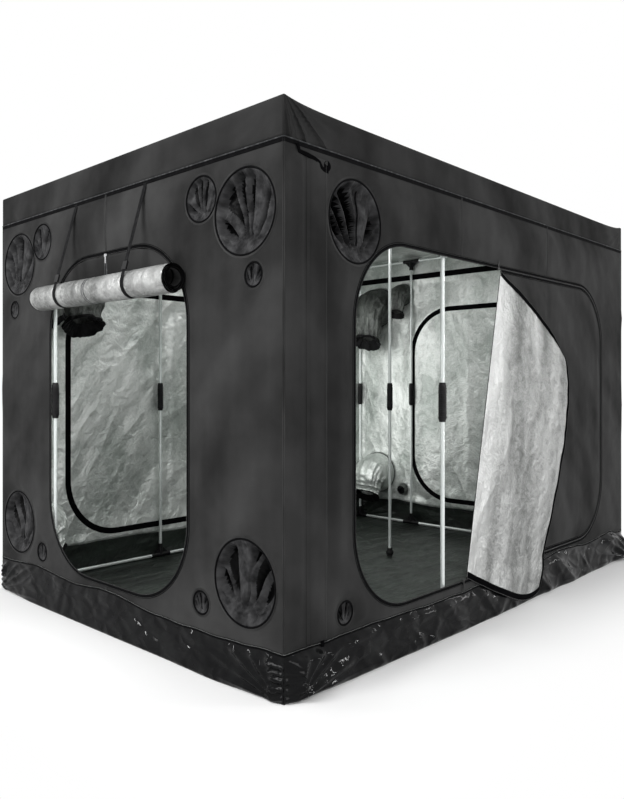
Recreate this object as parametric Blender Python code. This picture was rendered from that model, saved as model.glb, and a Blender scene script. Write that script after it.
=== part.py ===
"""Indoor grow tent: a pole frame inside a light-proof cover with doors, ports and a tub base.

Metres, +Z up. The origin is the middle of the floor's underside. The long front wall, with the wide
door that is folded open, faces -Y. The left end wall, with the rolled-up door, faces -X.
"""

import math

import bmesh
import bpy
import numpy as np
from mathutils import Matrix, Vector

# Overall size and the clearances
tent_long = 3.6
tent_width = 2.4
tent_height = 2.4
gap = 0.0003
overrun = 0.004
merge_distance = 0.00001

# Cover cloth: walls, roof cap and tub
cloth = 0.003
tub_height = 0.19
cap_skirt = 0.165
roof_edge_sag = 0.0135
roof_middle_sag = 0.012
roof_peak_reach = 0.1
roof_cells_end = 5
roof_cells_middle = 4
roof_cells_wide = 10
roof_bays = 3

# Welt between walls and cap: piping outside, black tape inside
welt_web = 0.003
welt_thick = 0.002
piping_height = 0.02
tape_below = 0.032
tape_above = 0.012

# Steel tubes and the couplers in the middle of each post
tube_radius = 0.011
coupler_radius = 0.0225
coupler_end_radius = 0.0165
coupler_length = 0.2
coupler_middle = 1.17
sides = 8

# Plastic corner and tee connectors
arm_radius = 0.016
post_arm_radius = 0.018
arm_length = 0.08
arm_root = 0.0075
corner_heel = 0.017
socket_floor = 0.02
web_thick = 0.006
web_reach = 0.062
web_root = 0.012

# Rubber foot of the centre poles
foot_radius = 0.0275
foot_height = 0.06
foot_pad_radius = 0.02
foot_neck_radius = 0.019
foot_sole = 0.012
foot_middle_share = 0.45

# End doors, in the left and right walls: margins from the wall's edges, its seam and the tub's top
end_door_margin = 0.6
end_door_over = 0.06
end_door_under = 0.315
end_door_corner = 0.385

# Wide doors, in the front and back walls: the same margins
wide_door_left_margin = 0.455
wide_door_right_margin = 0.39
wide_door_over = 0.05
wide_door_under = 0.33
wide_door_corner = 0.38
arc_steps = 8

# Ports: radius, and places from the wall's edge, under its seam or over the tub's top
large_port = 0.18
medium_port = 0.10
small_port = 0.05
end_large_margin = 0.225
end_large_under = 0.258
end_large_over = 0.25
end_medium_margin = 0.5
end_medium_under = 0.16
end_small_margin = 0.17
end_small_under = 0.525
end_low_small_margin = 0.5
end_low_small_over = 0.112
side_large_margin = 0.454
side_large_under = 0.267
side_small_margin = 0.381
side_small_over = 0.092

# Fold line of the front door, and the flap that hangs back from it
fold_top_across = -0.044
fold_top_under = 0.017
fold_foot_across = -0.413
fold_foot_over = 0.013
fold_clear = 0.003
flap_reach = 1.0
flap_lift = 0.0008
flap_slope_share = 0.022
flap_fold_share = 0.034
flap_folds = 4
flap_fan = math.radians(40)
flap_fan_shares = (0.6, 0.4)
flap_cells = 12
# Its free edges: corners and handles, as shares of the fold's length and of the flap's reach
flap_low_shares = (-0.018, 0.80)
flap_high_shares = (0.841, 0.88)
flap_bottom_shares = ((-0.030, 0.27), (-0.101, 0.66))
flap_outer_shares = ((0.179, 0.86), (0.680, 1.17))
flap_top_shares = ((0.966, 0.28), (0.913, 0.62))

# Rolled-up door of the left end
roll_radius = 0.07
roll_drop = 0.185
roll_core_radius = 0.026
roll_turn_steps = 12
roll_leave_rise = 0.065
roll_leave_shares = (0.35, 0.7)
door_sheet = 0.003

# Webbing straps and side-release buckles round the roll
strap_wide = 0.025
strap_thick = 0.002
strap_front_across = -0.287
strap_back_across = 0.333
strap_bend = 0.012
buckle_wide = 0.034
buckle_thick = 0.009
buckle_socket_long = 0.03
buckle_base_long = 0.012
buckle_strap_pocket = 0.008
buckle_off_roll = 0.046
prong_wide = 0.005
prong_long = 0.021
prong_thick = 0.0044
prong_barb = 0.0025
buckle_wall = 0.002
buckle_window = 0.008

# Zip sliders
slider_long = 0.024
slider_wide = 0.014
slider_nose_wide = 0.009
slider_high = 0.005
pull_wide = 0.010
pull_long = 0.036
pull_thick = 0.0016
pull_hole = 0.0025

# Storm flap over the zip by the front left corner
storm_margin = 0.13
storm_wide = 0.125
storm_foot_wide = 0.014
storm_stand = 0.0065
storm_thick = 0.0025
storm_over = 0.015
storm_under = 0.045
lobe_radius = 0.022
tab_radius = 0.028
tab_high = 0.1
tab_neck_wide = 0.02

# Rows of rings as shares of the port's radius: the crumpled face outside, as radius and depth,
# with how strongly the folds show
face_shares = ((0.84, 0.03, 0.1), (0.72, 0.14, 0.7), (0.40, 0.17, 1.0))
small_face_shares = ((0.84, 0.03, 0.1), (0.50, 0.16, 1.0))
face_middle_share = 0.16
face_fold_share = 0.045
face_folds = 5
# The sock inside: inward, drop, tilt in degrees, half width and half depth
sock_shares = (
    (0.06, 0.00, 0, 0.86, 0.86),
    (0.62, 0.28, 42, 0.78, 0.66),
    (0.74, 0.80, 70, 0.74, 0.46),
    (0.70, 1.45, 85, 0.68, 0.38),
    (0.66, 2.00, 90, 0.74, 0.42),
    (0.66, 1.78, 90, 0.64, 0.32),
)
stub_shares = ((0.06, 0.00, 0, 0.86, 0.86), (0.55, 0.00, 0, 0.72, 0.72))
low_hang_share = 0.6
large_segments = 12
medium_segments = 10
small_segments = 8

# Places that follow from the sizes above
half_length = tent_long / 2
half_width = tent_width / 2
seam_height = tent_height - cap_skirt
end_door_half = half_width - end_door_margin
# The poles between the corners stand behind the edges of the end doors, and as far out on the long walls
bay_half = end_door_half
end_door_bottom = tub_height + end_door_over
end_door_top = seam_height - end_door_under
wide_door_left = wide_door_left_margin - half_length
wide_door_right = half_length - wide_door_right_margin
wide_door_bottom = tub_height + wide_door_over
wide_door_top = seam_height - wide_door_under
fold_top_high = wide_door_top - fold_top_under
fold_foot_high = wide_door_bottom + fold_foot_over
roll_high = end_door_top - roll_drop
roll_leave_high = roll_high + roll_leave_rise
storm_left = storm_margin - half_length
storm_bottom = tub_height + storm_over
storm_top = seam_height - storm_under
post_inset = cloth + gap + coupler_radius
post_x = half_length - post_inset
post_y = half_width - post_inset
rail_low = cloth + gap + corner_heel
rail_high = tent_height - roof_edge_sag - cloth - gap - arm_radius
bore_radius = tube_radius + gap
wall_bottom = tub_height + gap
web_bottom = seam_height + gap
cap_bottom = web_bottom + welt_web + gap
end_wall_half = half_width - cloth - gap
floor_top = cloth
roll_x = -half_length - gap - roll_radius
fold_slope = (fold_top_across - fold_foot_across) / (fold_top_high - fold_foot_high)


def clear_scene():
    """Removes whatever the scene holds."""
    for old in list(bpy.data.objects):
        bpy.data.objects.remove(old, do_unlink=True)


def material(name, colour, roughness, metallic=0.0):
    """One Principled finish."""
    finish = bpy.data.materials.new(name)
    finish.use_nodes = True
    shader = finish.node_tree.nodes["Principled BSDF"]
    shader.inputs["Base Color"].default_value = (*colour, 1.0)
    shader.inputs["Roughness"].default_value = roughness
    shader.inputs["Metallic"].default_value = metallic
    finish.diffuse_color = (*colour, 1.0)
    return finish


def place_object(name, mesh, finish, location=(0, 0, 0), turn=(0, 0, 0)):
    """Links one mesh as an object with its own finish."""
    thing = bpy.data.objects.new(name, mesh)
    bpy.context.scene.collection.objects.link(thing)
    thing.location = location
    thing.rotation_euler = turn
    if not mesh.materials:
        mesh.materials.append(finish)
    return thing


def mesh_of(name, work, smooth_angle=math.radians(40)):
    """Turns a finished bmesh into a mesh with outward faces, smooth where it is round."""
    bmesh.ops.remove_doubles(work, verts=work.verts, dist=merge_distance)
    bmesh.ops.recalc_face_normals(work, faces=work.faces)
    mesh = bpy.data.meshes.new(name)
    work.to_mesh(mesh)
    work.free()
    mesh.shade_smooth()
    mesh.set_sharp_from_angle(angle=smooth_angle)
    return mesh


def circle(radius, count=sides):
    """Points of a circle, the first on the +first axis, so that every quarter has a point."""
    turns = np.arange(count) * (2 * math.pi / count)
    return np.stack([radius * np.cos(turns), radius * np.sin(turns)], axis=1)


def add_rings(work, rings):
    """Adds rings of points joined by quads, and returns their vertices."""
    made = [[work.verts.new(point) for point in ring] for ring in rings]
    for low, high in zip(made, made[1:]):
        for i, here in enumerate(low):
            after = (i + 1) % len(low)
            work.faces.new((here, low[after], high[after], high[i]))
    return made


def loft(name, rings):
    """A closed solid through rings of points, with flat ends."""
    work = bmesh.new()
    made = add_rings(work, rings)
    work.faces.new(made[0])
    work.faces.new(made[-1])
    return mesh_of(name, work)


def on_axis(axis, points, along):
    """Circle points set at a distance along X, Y or Z."""
    level = np.full(len(points), along)
    columns = {"X": (level, points[:, 0], points[:, 1]), "Y": (points[:, 0], level, points[:, 1])}
    return np.stack(columns.get(axis, (points[:, 0], points[:, 1], level)), axis=1)


def rod(name, axis, radius, start, end):
    """A round rod along one axis."""
    ring = circle(radius)
    return loft(name, [on_axis(axis, ring, start), on_axis(axis, ring, end)])


def turned(name, profile):
    """A solid of revolution about Z, from pairs of radius and height."""
    return loft(name, [on_axis("Z", circle(radius), height) for radius, height in profile])


def plate(name, outline, low, high, hole=None):
    """A flat plate in XY between two heights, from an outline, with an optional hole."""
    work = bmesh.new()
    loops = [outline] if hole is None else [outline, hole]
    layers = [flat_layer(work, loops, height)[0] for height in (low, high)]
    for below, above in zip(*layers):
        close_sides(work, below, above)
    return mesh_of(name, work)


def flat_layer(work, loops, height):
    """Fills the area between loops of XY points at one height, and returns the loops' vertices."""
    made = [[work.verts.new((across, along, height)) for across, along in loop] for loop in loops]
    fill_between(work, made, Vector((0, 0, 1)))
    return made, height


def fill_between(work, loops, normal):
    """Fills the area between closed loops of vertices with triangles."""
    edges = []
    for loop in loops:
        for here, after in zip(loop, loop[1:] + loop[:1]):
            edges.append(work.edges.new((here, after)))
    bmesh.ops.triangle_fill(work, use_beauty=True, use_dissolve=False, edges=edges, normal=normal)


def close_sides(work, below, above):
    """Joins two matching loops with quads."""
    for i, here in enumerate(below):
        after = (i + 1) % len(below)
        work.faces.new((here, below[after], above[after], above[i]))


def baked(name, base, joined=(), cut=()):
    """One mesh from a base with others joined to it and cut from it."""
    body = bpy.data.objects.new(name, base)
    bpy.context.scene.collection.objects.link(body)
    groups = []
    for operation, meshes in (("UNION", joined), ("DIFFERENCE", cut)):
        if not meshes:
            continue
        group = bpy.data.collections.new(name + operation)
        bpy.context.scene.collection.children.link(group)
        for mesh in meshes:
            group.objects.link(bpy.data.objects.new(name + "_tool", mesh))
        step = body.modifiers.new(operation.title(), "BOOLEAN")
        step.operation = operation
        step.solver = "EXACT"
        step.operand_type = "COLLECTION"
        step.collection = group
        groups.append(group)
    bpy.context.view_layer.update()
    graph = bpy.context.evaluated_depsgraph_get()
    result = bpy.data.meshes.new_from_object(body.evaluated_get(graph))
    for group in groups:
        for helper in list(group.objects):
            bpy.data.objects.remove(helper, do_unlink=True)
        bpy.data.collections.remove(group)
    bpy.data.objects.remove(body, do_unlink=True)
    work = bmesh.new()
    work.from_mesh(result)
    bmesh.ops.triangulate(work, faces=[face for face in work.faces if len(face.verts) > 4])
    work.to_mesh(result)
    work.free()
    result.name = name
    result.materials.clear()
    result.shade_smooth()
    result.set_sharp_from_angle(angle=math.radians(40))
    return result


def moved(mesh, shift):
    """A copy of a mesh moved by a vector."""
    copy = mesh.copy()
    copy.transform(Matrix.Translation(Vector(shift)))
    return copy


def gusset(name, axis, way, up, foot):
    """The triangular web in the angle between a connector's post arm and one of its other arms."""
    half = web_thick / 2
    corners = ((web_root, web_root), (web_reach, foot), (foot, web_reach))
    rings = []
    for side in (-half, half):
        ring = [(way * out, side, up * rise) for out, rise in corners]
        if axis == "Y":
            ring = [(side, out, rise) for out, side, rise in ring]
        rings.append(ring)
    return loft(name, rings)


def post_arm(name, up, start):
    """The post arm of a connector and its bore, up or down."""
    arm = rod(name, "Z", post_arm_radius, up * start, up * arm_length)
    bore = rod(name + "_bore", "Z", bore_radius, up * socket_floor, up * (arm_length + overrun))
    return arm, bore


def rail_arm(name, axis, way):
    """A rail arm of a connector and its bore."""
    arm = rod(name, axis, arm_radius, -way * arm_root, way * arm_length)
    bore = rod(name + "_bore", axis, bore_radius, way * socket_floor, way * (arm_length + overrun))
    return arm, bore


def corner_mesh(name, up, back):
    """A three-way corner: rail arms along +X and +Y, a post arm up or down, and its other end back."""
    post, post_bore = post_arm(name + "_post", up, -back)
    arm_x, bore_x = rail_arm(name + "_x", "X", 1)
    arm_y, bore_y = rail_arm(name + "_y", "Y", 1)
    foot = arm_radius / 2
    webs = [gusset(name + "_web_x", "X", 1, up, foot), gusset(name + "_web_y", "Y", 1, up, foot)]
    return baked(name, post, [arm_x, arm_y, *webs], [post_bore, bore_x, bore_y])


def rail_mesh(name, axis, half_run, up, bar_way=0):
    """A rail between two corners with a tee at each post in its run.

    The post arms point up or down, and where a roof bar meets the rail, bar_way points to it.
    """
    end = half_run - socket_floor - gap
    joined = []
    cut = []
    for place in (-bay_half, bay_half):
        shift = (place, 0, 0) if axis == "X" else (0, place, 0)
        sleeve = rod(name + "_sleeve", axis, arm_radius, -arm_length, arm_length)
        post, bore = post_arm(name + "_post", up, -arm_root)
        pieces = [sleeve, post]
        pieces += [gusset(name + "_web", axis, way, up, arm_radius / 2) for way in (-1, 1)]
        bores = [bore]
        if bar_way:
            arm, arm_bore = rail_arm(name + "_bar", "Y", bar_way)
            pieces.append(arm)
            bores.append(arm_bore)
        joined += [moved(piece, shift) for piece in pieces]
        cut += [moved(piece, shift) for piece in bores]
    return baked(name, rod(name + "_tube", axis, tube_radius, -end, end), joined, cut)


def roof_bar_mesh(name):
    """A bar across the roof, with the hub that takes the head of a centre pole."""
    end = post_y - socket_floor - gap
    post, bore = post_arm(name + "_post", -1, -arm_root)
    joined = [rod(name + "_sleeve", "Y", arm_radius, -arm_length, arm_length), post]
    joined += [gusset(name + "_web", "Y", way, -1, arm_radius / 2) for way in (-1, 1)]
    return baked(name, rod(name + "_tube", "Y", tube_radius, -end, end), joined, [bore])


def post_mesh(name, bottom, top):
    """Two tubes and the barrel-shaped coupler between them, turned in one."""
    low = coupler_middle - coupler_length / 2
    high = coupler_middle + coupler_length / 2
    swell = coupler_length / 4
    profile = [
        (tube_radius, bottom),
        (tube_radius, low),
        (coupler_end_radius, low),
        (coupler_radius, low + swell),
        (coupler_radius, high - swell),
        (coupler_end_radius, high),
        (tube_radius, high),
        (tube_radius, top),
    ]
    return turned(name, profile)


def foot_mesh(name):
    """The ball-shaped rubber foot, with a blind socket for the pole."""
    middle = foot_height * foot_middle_share
    profile = [
        (foot_pad_radius, 0),
        (foot_radius, middle - foot_sole),
        (foot_radius, middle + foot_sole),
        (foot_neck_radius, foot_height - foot_sole / 2),
        (foot_neck_radius, foot_height),
    ]
    bore = rod(name + "_bore", "Z", bore_radius, foot_sole, foot_height + overrun)
    return baked(name, turned(name + "_ball", profile), (), [bore])


def build_frame(steel, black, rubber):
    """Posts, connectors, rails, roof bars and feet."""
    post = post_mesh("post", rail_low + socket_floor + gap, rail_high - socket_floor - gap)
    corners = {"left": -1, "right": 1}
    walls = {"front": -1, "back": 1}
    for wall, side_y in walls.items():
        for end, side_x in corners.items():
            place_object(f"corner_pole_{wall}_{end}", post, steel, (side_x * post_x, side_y * post_y, 0))
            place_object(f"side_pole_{wall}_{end}", post, steel, (side_x * bay_half, side_y * post_y, 0))
            place_object(f"end_pole_{end}_{wall}", post, steel, (side_x * post_x, side_y * bay_half, 0))
    low = corner_mesh("low_corner", 1, corner_heel)
    over = roof_height(post_x - post_arm_radius, post_y - post_arm_radius) - cloth - 2 * gap
    high = corner_mesh("high_corner", -1, over - rail_high)
    for wall, side_y in walls.items():
        for end, side_x in corners.items():
            turn = (0, 0, corner_turn(side_x, side_y))
            spot = (side_x * post_x, side_y * post_y)
            place_object(f"bottom_corner_{wall}_{end}", low, black, (*spot, rail_low), turn)
            place_object(f"top_corner_{wall}_{end}", high, black, (*spot, rail_high), turn)
    long_low = rail_mesh("long_low_rail", "X", post_x, 1)
    long_high = rail_mesh("long_high_rail", "X", post_x, -1, 1)
    short_low = rail_mesh("short_low_rail", "Y", post_y, 1)
    short_high = rail_mesh("short_high_rail", "Y", post_y, -1)
    for wall, side_y in walls.items():
        turn = (0, 0, 0 if side_y < 0 else math.pi)
        place_object(f"bottom_rail_{wall}", long_low, steel, (0, side_y * post_y, rail_low), turn)
        place_object(f"top_rail_{wall}", long_high, steel, (0, side_y * post_y, rail_high), turn)
    bar = roof_bar_mesh("roof_bar")
    foot = foot_mesh("foot")
    pole = post_mesh("centre_post", floor_top + gap + foot_sole + gap, rail_high - socket_floor - gap)
    for end, side_x in corners.items():
        place_object(f"bottom_rail_{end}", short_low, steel, (side_x * post_x, 0, rail_low))
        place_object(f"top_rail_{end}", short_high, steel, (side_x * post_x, 0, rail_high))
        place_object(f"roof_bar_{end}", bar, steel, (side_x * bay_half, 0, rail_high))
        place_object(f"centre_pole_{end}", pole, steel, (side_x * bay_half, 0, 0))
        place_object(f"pole_foot_{end}", foot, rubber, (side_x * bay_half, 0, floor_top + gap))


def corner_turn(side_x, side_y):
    """How far a corner connector turns about Z, so that its arms point into the tent."""
    return {(-1, -1): 0, (1, -1): math.pi / 2, (1, 1): math.pi, (-1, 1): -math.pi / 2}[(side_x, side_y)]


def arc(centre, radius, start, end, steps=arc_steps):
    """Points of an arc, from one angle to another."""
    turns = np.linspace(start, end, steps + 1)
    return np.stack([centre[0] + radius * np.cos(turns), centre[1] + radius * np.sin(turns)], axis=1)


def rounded_box(left, right, bottom, top, corner):
    """The outline of a door: a box with large round corners, anticlockwise from the lower right."""
    quarter = math.pi / 2
    return np.concatenate(
        [
            arc((right - corner, bottom + corner), corner, -quarter, 0),
            arc((right - corner, top - corner), corner, 0, quarter),
            arc((left + corner, top - corner), corner, quarter, math.pi),
            arc((left + corner, bottom + corner), corner, math.pi, math.pi + quarter),
        ]
    )


def box_outline(left, right, bottom, top):
    """The four corners of a box."""
    return np.array([(left, bottom), (right, bottom), (right, top), (left, top)])


def wall_place(wall):
    """A function that takes across, depth and height on one wall to a point of the tent.

    Depth is 0 on the outer face and grows inwards.
    """
    return {
        "front": lambda across, depth, high: (across, depth - half_width, high),
        "back": lambda across, depth, high: (across, half_width - depth, high),
        "left": lambda across, depth, high: (depth - half_length, across, high),
        "right": lambda across, depth, high: (half_length - depth, across, high),
    }[wall]


def port_face(place, port):
    """The crumpled outer face of a port, as rings, and its middle point."""
    across, high, radius, count, hang = port
    turns = np.arange(count) * (2 * math.pi / count)
    rings = []
    for reach, depth, fold in face_shares if hang else small_face_shares:
        wave = fold * face_fold_share * radius * np.cos(face_folds * turns + across)
        spots = zip(turns, depth * radius + wave)
        rings.append([ring_point(place, across, high, reach * radius, turn, deep) for turn, deep in spots])
    return rings, place(across, face_middle_share * radius, high)


def ring_point(place, across, high, radius, turn, depth):
    """A point of a ring about a port's middle."""
    return place(across + radius * math.cos(turn), depth, high + radius * math.sin(turn))


def port_sock(place, port):
    """The sock that hangs inside a port, as rings, and the middle of its mouth."""
    across, high, radius, count, hang = port
    turns = np.arange(count) * (2 * math.pi / count)
    rings = []
    for inward, drop, tilt, wide, deep in sock_shares if hang else stub_shares:
        lean = math.radians(tilt)
        in_depth = cloth + radius * (inward + deep * math.sin(lean) * np.sin(turns))
        in_height = high + radius * (deep * math.cos(lean) * np.sin(turns) - hang * drop)
        spots = zip(across + wide * radius * np.cos(turns), in_depth, in_height)
        rings.append([place(*spot) for spot in spots])
    middle = np.mean(np.array(rings[-1]), axis=0)
    return rings, middle


def wall_layer(work, place, depth, loops, ports, shape):
    """One face of a wall: the flat cloth between its loops, and the shape of each port."""
    edge = [[work.verts.new(place(across, depth, high)) for across, high in loop] for loop in loops]
    rims = []
    for port in ports:
        across, high, radius, count, _ = port
        turns = np.arange(count) * (2 * math.pi / count)
        rims.append([work.verts.new(ring_point(place, across, high, radius, t, depth)) for t in turns])
    facing = Vector(place(0, 0, 0)) - Vector(place(0, cloth, 0))
    fill_between(work, edge + rims, facing.normalized())
    for port, rim in zip(ports, rims):
        rings, middle = shape(place, port)
        made = add_rings(work, rings)
        close_sides(work, rim, made[0])
        point = work.verts.new(middle)
        last = made[-1]
        for i, here in enumerate(last):
            work.faces.new((here, last[(i + 1) % len(last)], point))
    return edge


def wall_mesh(name, wall, outline, doors, ports):
    """A wall of the cover: cloth with its door opening and its ports."""
    place = wall_place(wall)
    loops = [outline, *doors]
    work = bmesh.new()
    outer = wall_layer(work, place, 0, loops, ports, port_face)
    inner = wall_layer(work, place, cloth, loops, ports, port_sock)
    for below, above in zip(outer, inner):
        close_sides(work, below, above)
    return mesh_of(name, work)


def sheet_mesh(name, wall, outline):
    """A flat piece of cloth in the plane of one wall."""
    place = wall_place(wall)
    work = bmesh.new()
    layers = []
    for depth in (0, cloth):
        loop = [work.verts.new(place(across, depth, high)) for across, high in outline]
        facing = Vector(place(0, 0, 0)) - Vector(place(0, cloth, 0))
        fill_between(work, [loop], facing.normalized())
        layers.append(loop)
    close_sides(work, *layers)
    return mesh_of(name, work)


def end_ports():
    """Ports of an end wall, the same on both sides of its middle."""
    large = half_width - end_large_margin
    medium = (half_width - end_medium_margin, seam_height - end_medium_under)
    small = (half_width - end_small_margin, seam_height - end_small_under)
    low_small = (half_width - end_low_small_margin, tub_height + end_low_small_over)
    ports = []
    for side in (-1, 1):
        ports += [
            (side * large, seam_height - end_large_under, large_port, large_segments, 1),
            (side * large, tub_height + end_large_over, large_port, large_segments, low_hang_share),
            (side * medium[0], medium[1], medium_port, medium_segments, 1),
            (side * small[0], small[1], small_port, small_segments, 0),
            (side * low_small[0], low_small[1], small_port, small_segments, 0),
        ]
    return ports


def side_ports():
    """Ports of a long wall, both by its left end."""
    large = (side_large_margin - half_length, seam_height - side_large_under)
    small = (side_small_margin - half_length, tub_height + side_small_over)
    return [(*large, large_port, large_segments, 1), (*small, small_port, small_segments, 0)]


def end_door_outline(inset=0):
    """The end door, or its opening where inset is 0."""
    return rounded_box(
        -end_door_half + inset,
        end_door_half - inset,
        end_door_bottom + inset,
        end_door_top - inset,
        end_door_corner - inset,
    )


def wide_door_outline(inset=0):
    """The wide door, or its opening where inset is 0."""
    return rounded_box(
        wide_door_left + inset,
        wide_door_right - inset,
        wide_door_bottom + inset,
        wide_door_top - inset,
        wide_door_corner - inset,
    )


def build_walls(charcoal):
    """The four walls."""
    long_outline = box_outline(-half_length, half_length, wall_bottom, seam_height)
    end_outline = box_outline(-end_wall_half, end_wall_half, wall_bottom, seam_height)
    for wall in ("front", "back"):
        mesh = wall_mesh("wall_" + wall, wall, long_outline, [wide_door_outline()], side_ports())
        place_object("wall_" + wall, mesh, charcoal)
    for wall in ("left", "right"):
        mesh = wall_mesh("wall_" + wall, wall, end_outline, [end_door_outline()], end_ports())
        place_object("wall_" + wall, mesh, charcoal)


def thicken(thing, thickness, offset=-1):
    """Gives an open sheet its thickness, to the inside unless offset says otherwise."""
    wall = thing.modifiers.new("Thickness", "SOLIDIFY")
    wall.thickness = thickness
    wall.offset = offset
    wall.use_even_offset = True
    wall.use_rim = True


def build_tub(vinyl):
    """Floor and skirt in one tray."""
    work = bmesh.new()
    corners = box_outline(-half_length, half_length, -half_width, half_width)
    rings = add_rings(work, [[(x, y, level) for x, y in corners] for level in (0, tub_height)])
    work.faces.new(rings[0])
    bmesh.ops.recalc_face_normals(work, faces=work.faces)
    face_out(work, Vector((0, 0, -1)))
    mesh = bpy.data.meshes.new("tub_base")
    work.to_mesh(mesh)
    work.free()
    thicken(place_object("tub_base", mesh, vinyl), cloth)


def face_out(work, outside):
    """Turns an open sheet round if its largest face looks the wrong way."""
    largest = max(work.faces, key=lambda face: face.calc_area())
    if largest.normal.dot(outside) < 0:
        bmesh.ops.reverse_faces(work, faces=work.faces)


def roof_height(x, y):
    """The roof's height: it peaks at the corners and sags along the edges and between the bars."""
    from_corner = min(math.hypot(half_length - abs(x), half_width - abs(y)), half_length)
    edge = roof_edge_sag * (1 - math.exp(-from_corner / roof_peak_reach))
    along = math.sin(roof_bays * math.pi * (x + half_length) / tent_long) ** 2
    across = math.sin(math.pi * (y + half_width) / tent_width) ** 2
    return tent_height - edge - roof_middle_sag * along * across


def roof_rows():
    """Places of the roof's rows along it: one on each roof bar, closer together near the corners."""
    bay = half_length - bay_half
    outer = bay_half + bay * np.sin(np.linspace(0, math.pi / 2, roof_cells_end + 1))
    middle = np.linspace(-bay_half, bay_half, roof_cells_middle + 1)
    return np.concatenate([-outer[:0:-1], middle, outer[1:]])


def roof_columns():
    """Places of the roof's columns across it, closer together near the corners."""
    even = np.linspace(-1, 1, roof_cells_wide + 1)
    return half_width * np.sin(even * math.pi / 2)


def build_cap(charcoal):
    """The roof sheet with its skirt, sagging a little between the poles that carry it."""
    columns = roof_columns()
    work = bmesh.new()
    grid = [[work.verts.new((x, y, roof_height(x, y))) for y in columns] for x in roof_rows()]
    for row, after in zip(grid, grid[1:]):
        for j in range(len(row) - 1):
            work.faces.new((row[j], after[j], after[j + 1], row[j + 1]))
    border = [edge for edge in work.edges if edge.is_boundary]
    drawn = bmesh.ops.extrude_edge_only(work, edges=border)["geom"]
    for vert in (part for part in drawn if isinstance(part, bmesh.types.BMVert)):
        vert.co.z = cap_bottom
    bmesh.ops.recalc_face_normals(work, faces=work.faces)
    face_out(work, Vector((0, 0, 1)))
    mesh = bpy.data.meshes.new("roof_cap")
    work.to_mesh(mesh)
    work.free()
    thicken(place_object("roof_cap", mesh, charcoal), cloth)


def build_welt(tape):
    """The ring between walls and cap: a web in the seam, piping outside and tape inside."""
    middle = web_bottom + welt_web / 2
    outside = -gap
    inside = cloth + gap
    profile = [
        (outside, web_bottom),
        (inside, web_bottom),
        (inside, middle - tape_below),
        (inside + welt_thick, middle - tape_below),
        (inside + welt_thick, middle + tape_above),
        (inside, middle + tape_above),
        (inside, web_bottom + welt_web),
        (outside, web_bottom + welt_web),
        (outside, middle + piping_height / 2),
        (outside - welt_thick, middle + piping_height / 2),
        (outside - welt_thick, middle - piping_height / 2),
        (outside, middle - piping_height / 2),
    ]
    work = bmesh.new()
    rings = []
    for side_x, side_y in ((-1, -1), (1, -1), (1, 1), (-1, 1)):
        rings.append([(side_x * (half_length - d), side_y * (half_width - d), z) for d, z in profile])
    add_rings(work, [*rings, rings[0]])
    place_object("roof_seam_welt", mesh_of("roof_seam_welt", work), tape)


def fold_point(along, out):
    """A point of the front wall, from a distance up the fold line and one out from it."""
    rise = 1 / math.hypot(1, fold_slope)
    lean = fold_slope * rise
    return fold_foot_across + along * lean + out * rise, fold_foot_high + along * rise - out * lean


def fold_length():
    """The length of the fold line."""
    return math.hypot(fold_top_across - fold_foot_across, fold_top_high - fold_foot_high)


def bezier(points, share):
    """A point of the cubic curve through two ends with two handles."""
    a, b, c, d = (np.array(point) for point in points)
    rest = 1 - share
    return a * rest**3 + 3 * b * share * rest**2 + 3 * c * share**2 * rest + d * share**3


def flap_edges():
    """The flap's three free edges as curves, in shares of the fold's length and of the flap's reach."""
    bottom_edge = ((0, 0), *flap_bottom_shares, flap_low_shares)
    outer_edge = (flap_low_shares, *flap_outer_shares, flap_high_shares)
    top_edge = ((1, 0), *flap_top_shares, flap_high_shares)
    return bottom_edge, outer_edge, top_edge


def flap_point(across, up):
    """A point of the flap: a Coons patch between the fold line and the three free edges."""
    bottom_edge, outer_edge, top_edge = flap_edges()
    bottom = bezier(bottom_edge, across)
    top = bezier(top_edge, across)
    outer = bezier(outer_edge, up)
    fold = np.array((up, 0.0))
    ruled = bottom * (1 - up) + top * up + fold * (1 - across) + outer * across
    corners = (
        np.array(bottom_edge[0]) * (1 - across) * (1 - up)
        + np.array(bottom_edge[3]) * across * (1 - up)
        + np.array(top_edge[0]) * (1 - across) * up
        + np.array(top_edge[3]) * across * up
    )
    along, out = (ruled - corners) * (fold_length(), flap_reach)
    fan = math.atan2(out, fold_length() - along + overrun) / flap_fan
    waves = flap_folds * fan * (flap_fan_shares[0] + flap_fan_shares[1] * fan)
    folds = (1 - math.cos(2 * math.pi * waves)) / 2
    off = flap_lift + out * (flap_slope_share + flap_fold_share * folds)
    x, z = fold_point(along, out)
    return x, -half_width - off, z


def grid_sheet(points):
    """An open sheet from rows of points."""
    work = bmesh.new()
    grid = [[work.verts.new(point) for point in row] for row in points]
    for row, after in zip(grid, grid[1:]):
        for j in range(len(row) - 1):
            work.faces.new((row[j], after[j], after[j + 1], row[j + 1]))
    work.normal_update()
    return work


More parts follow.
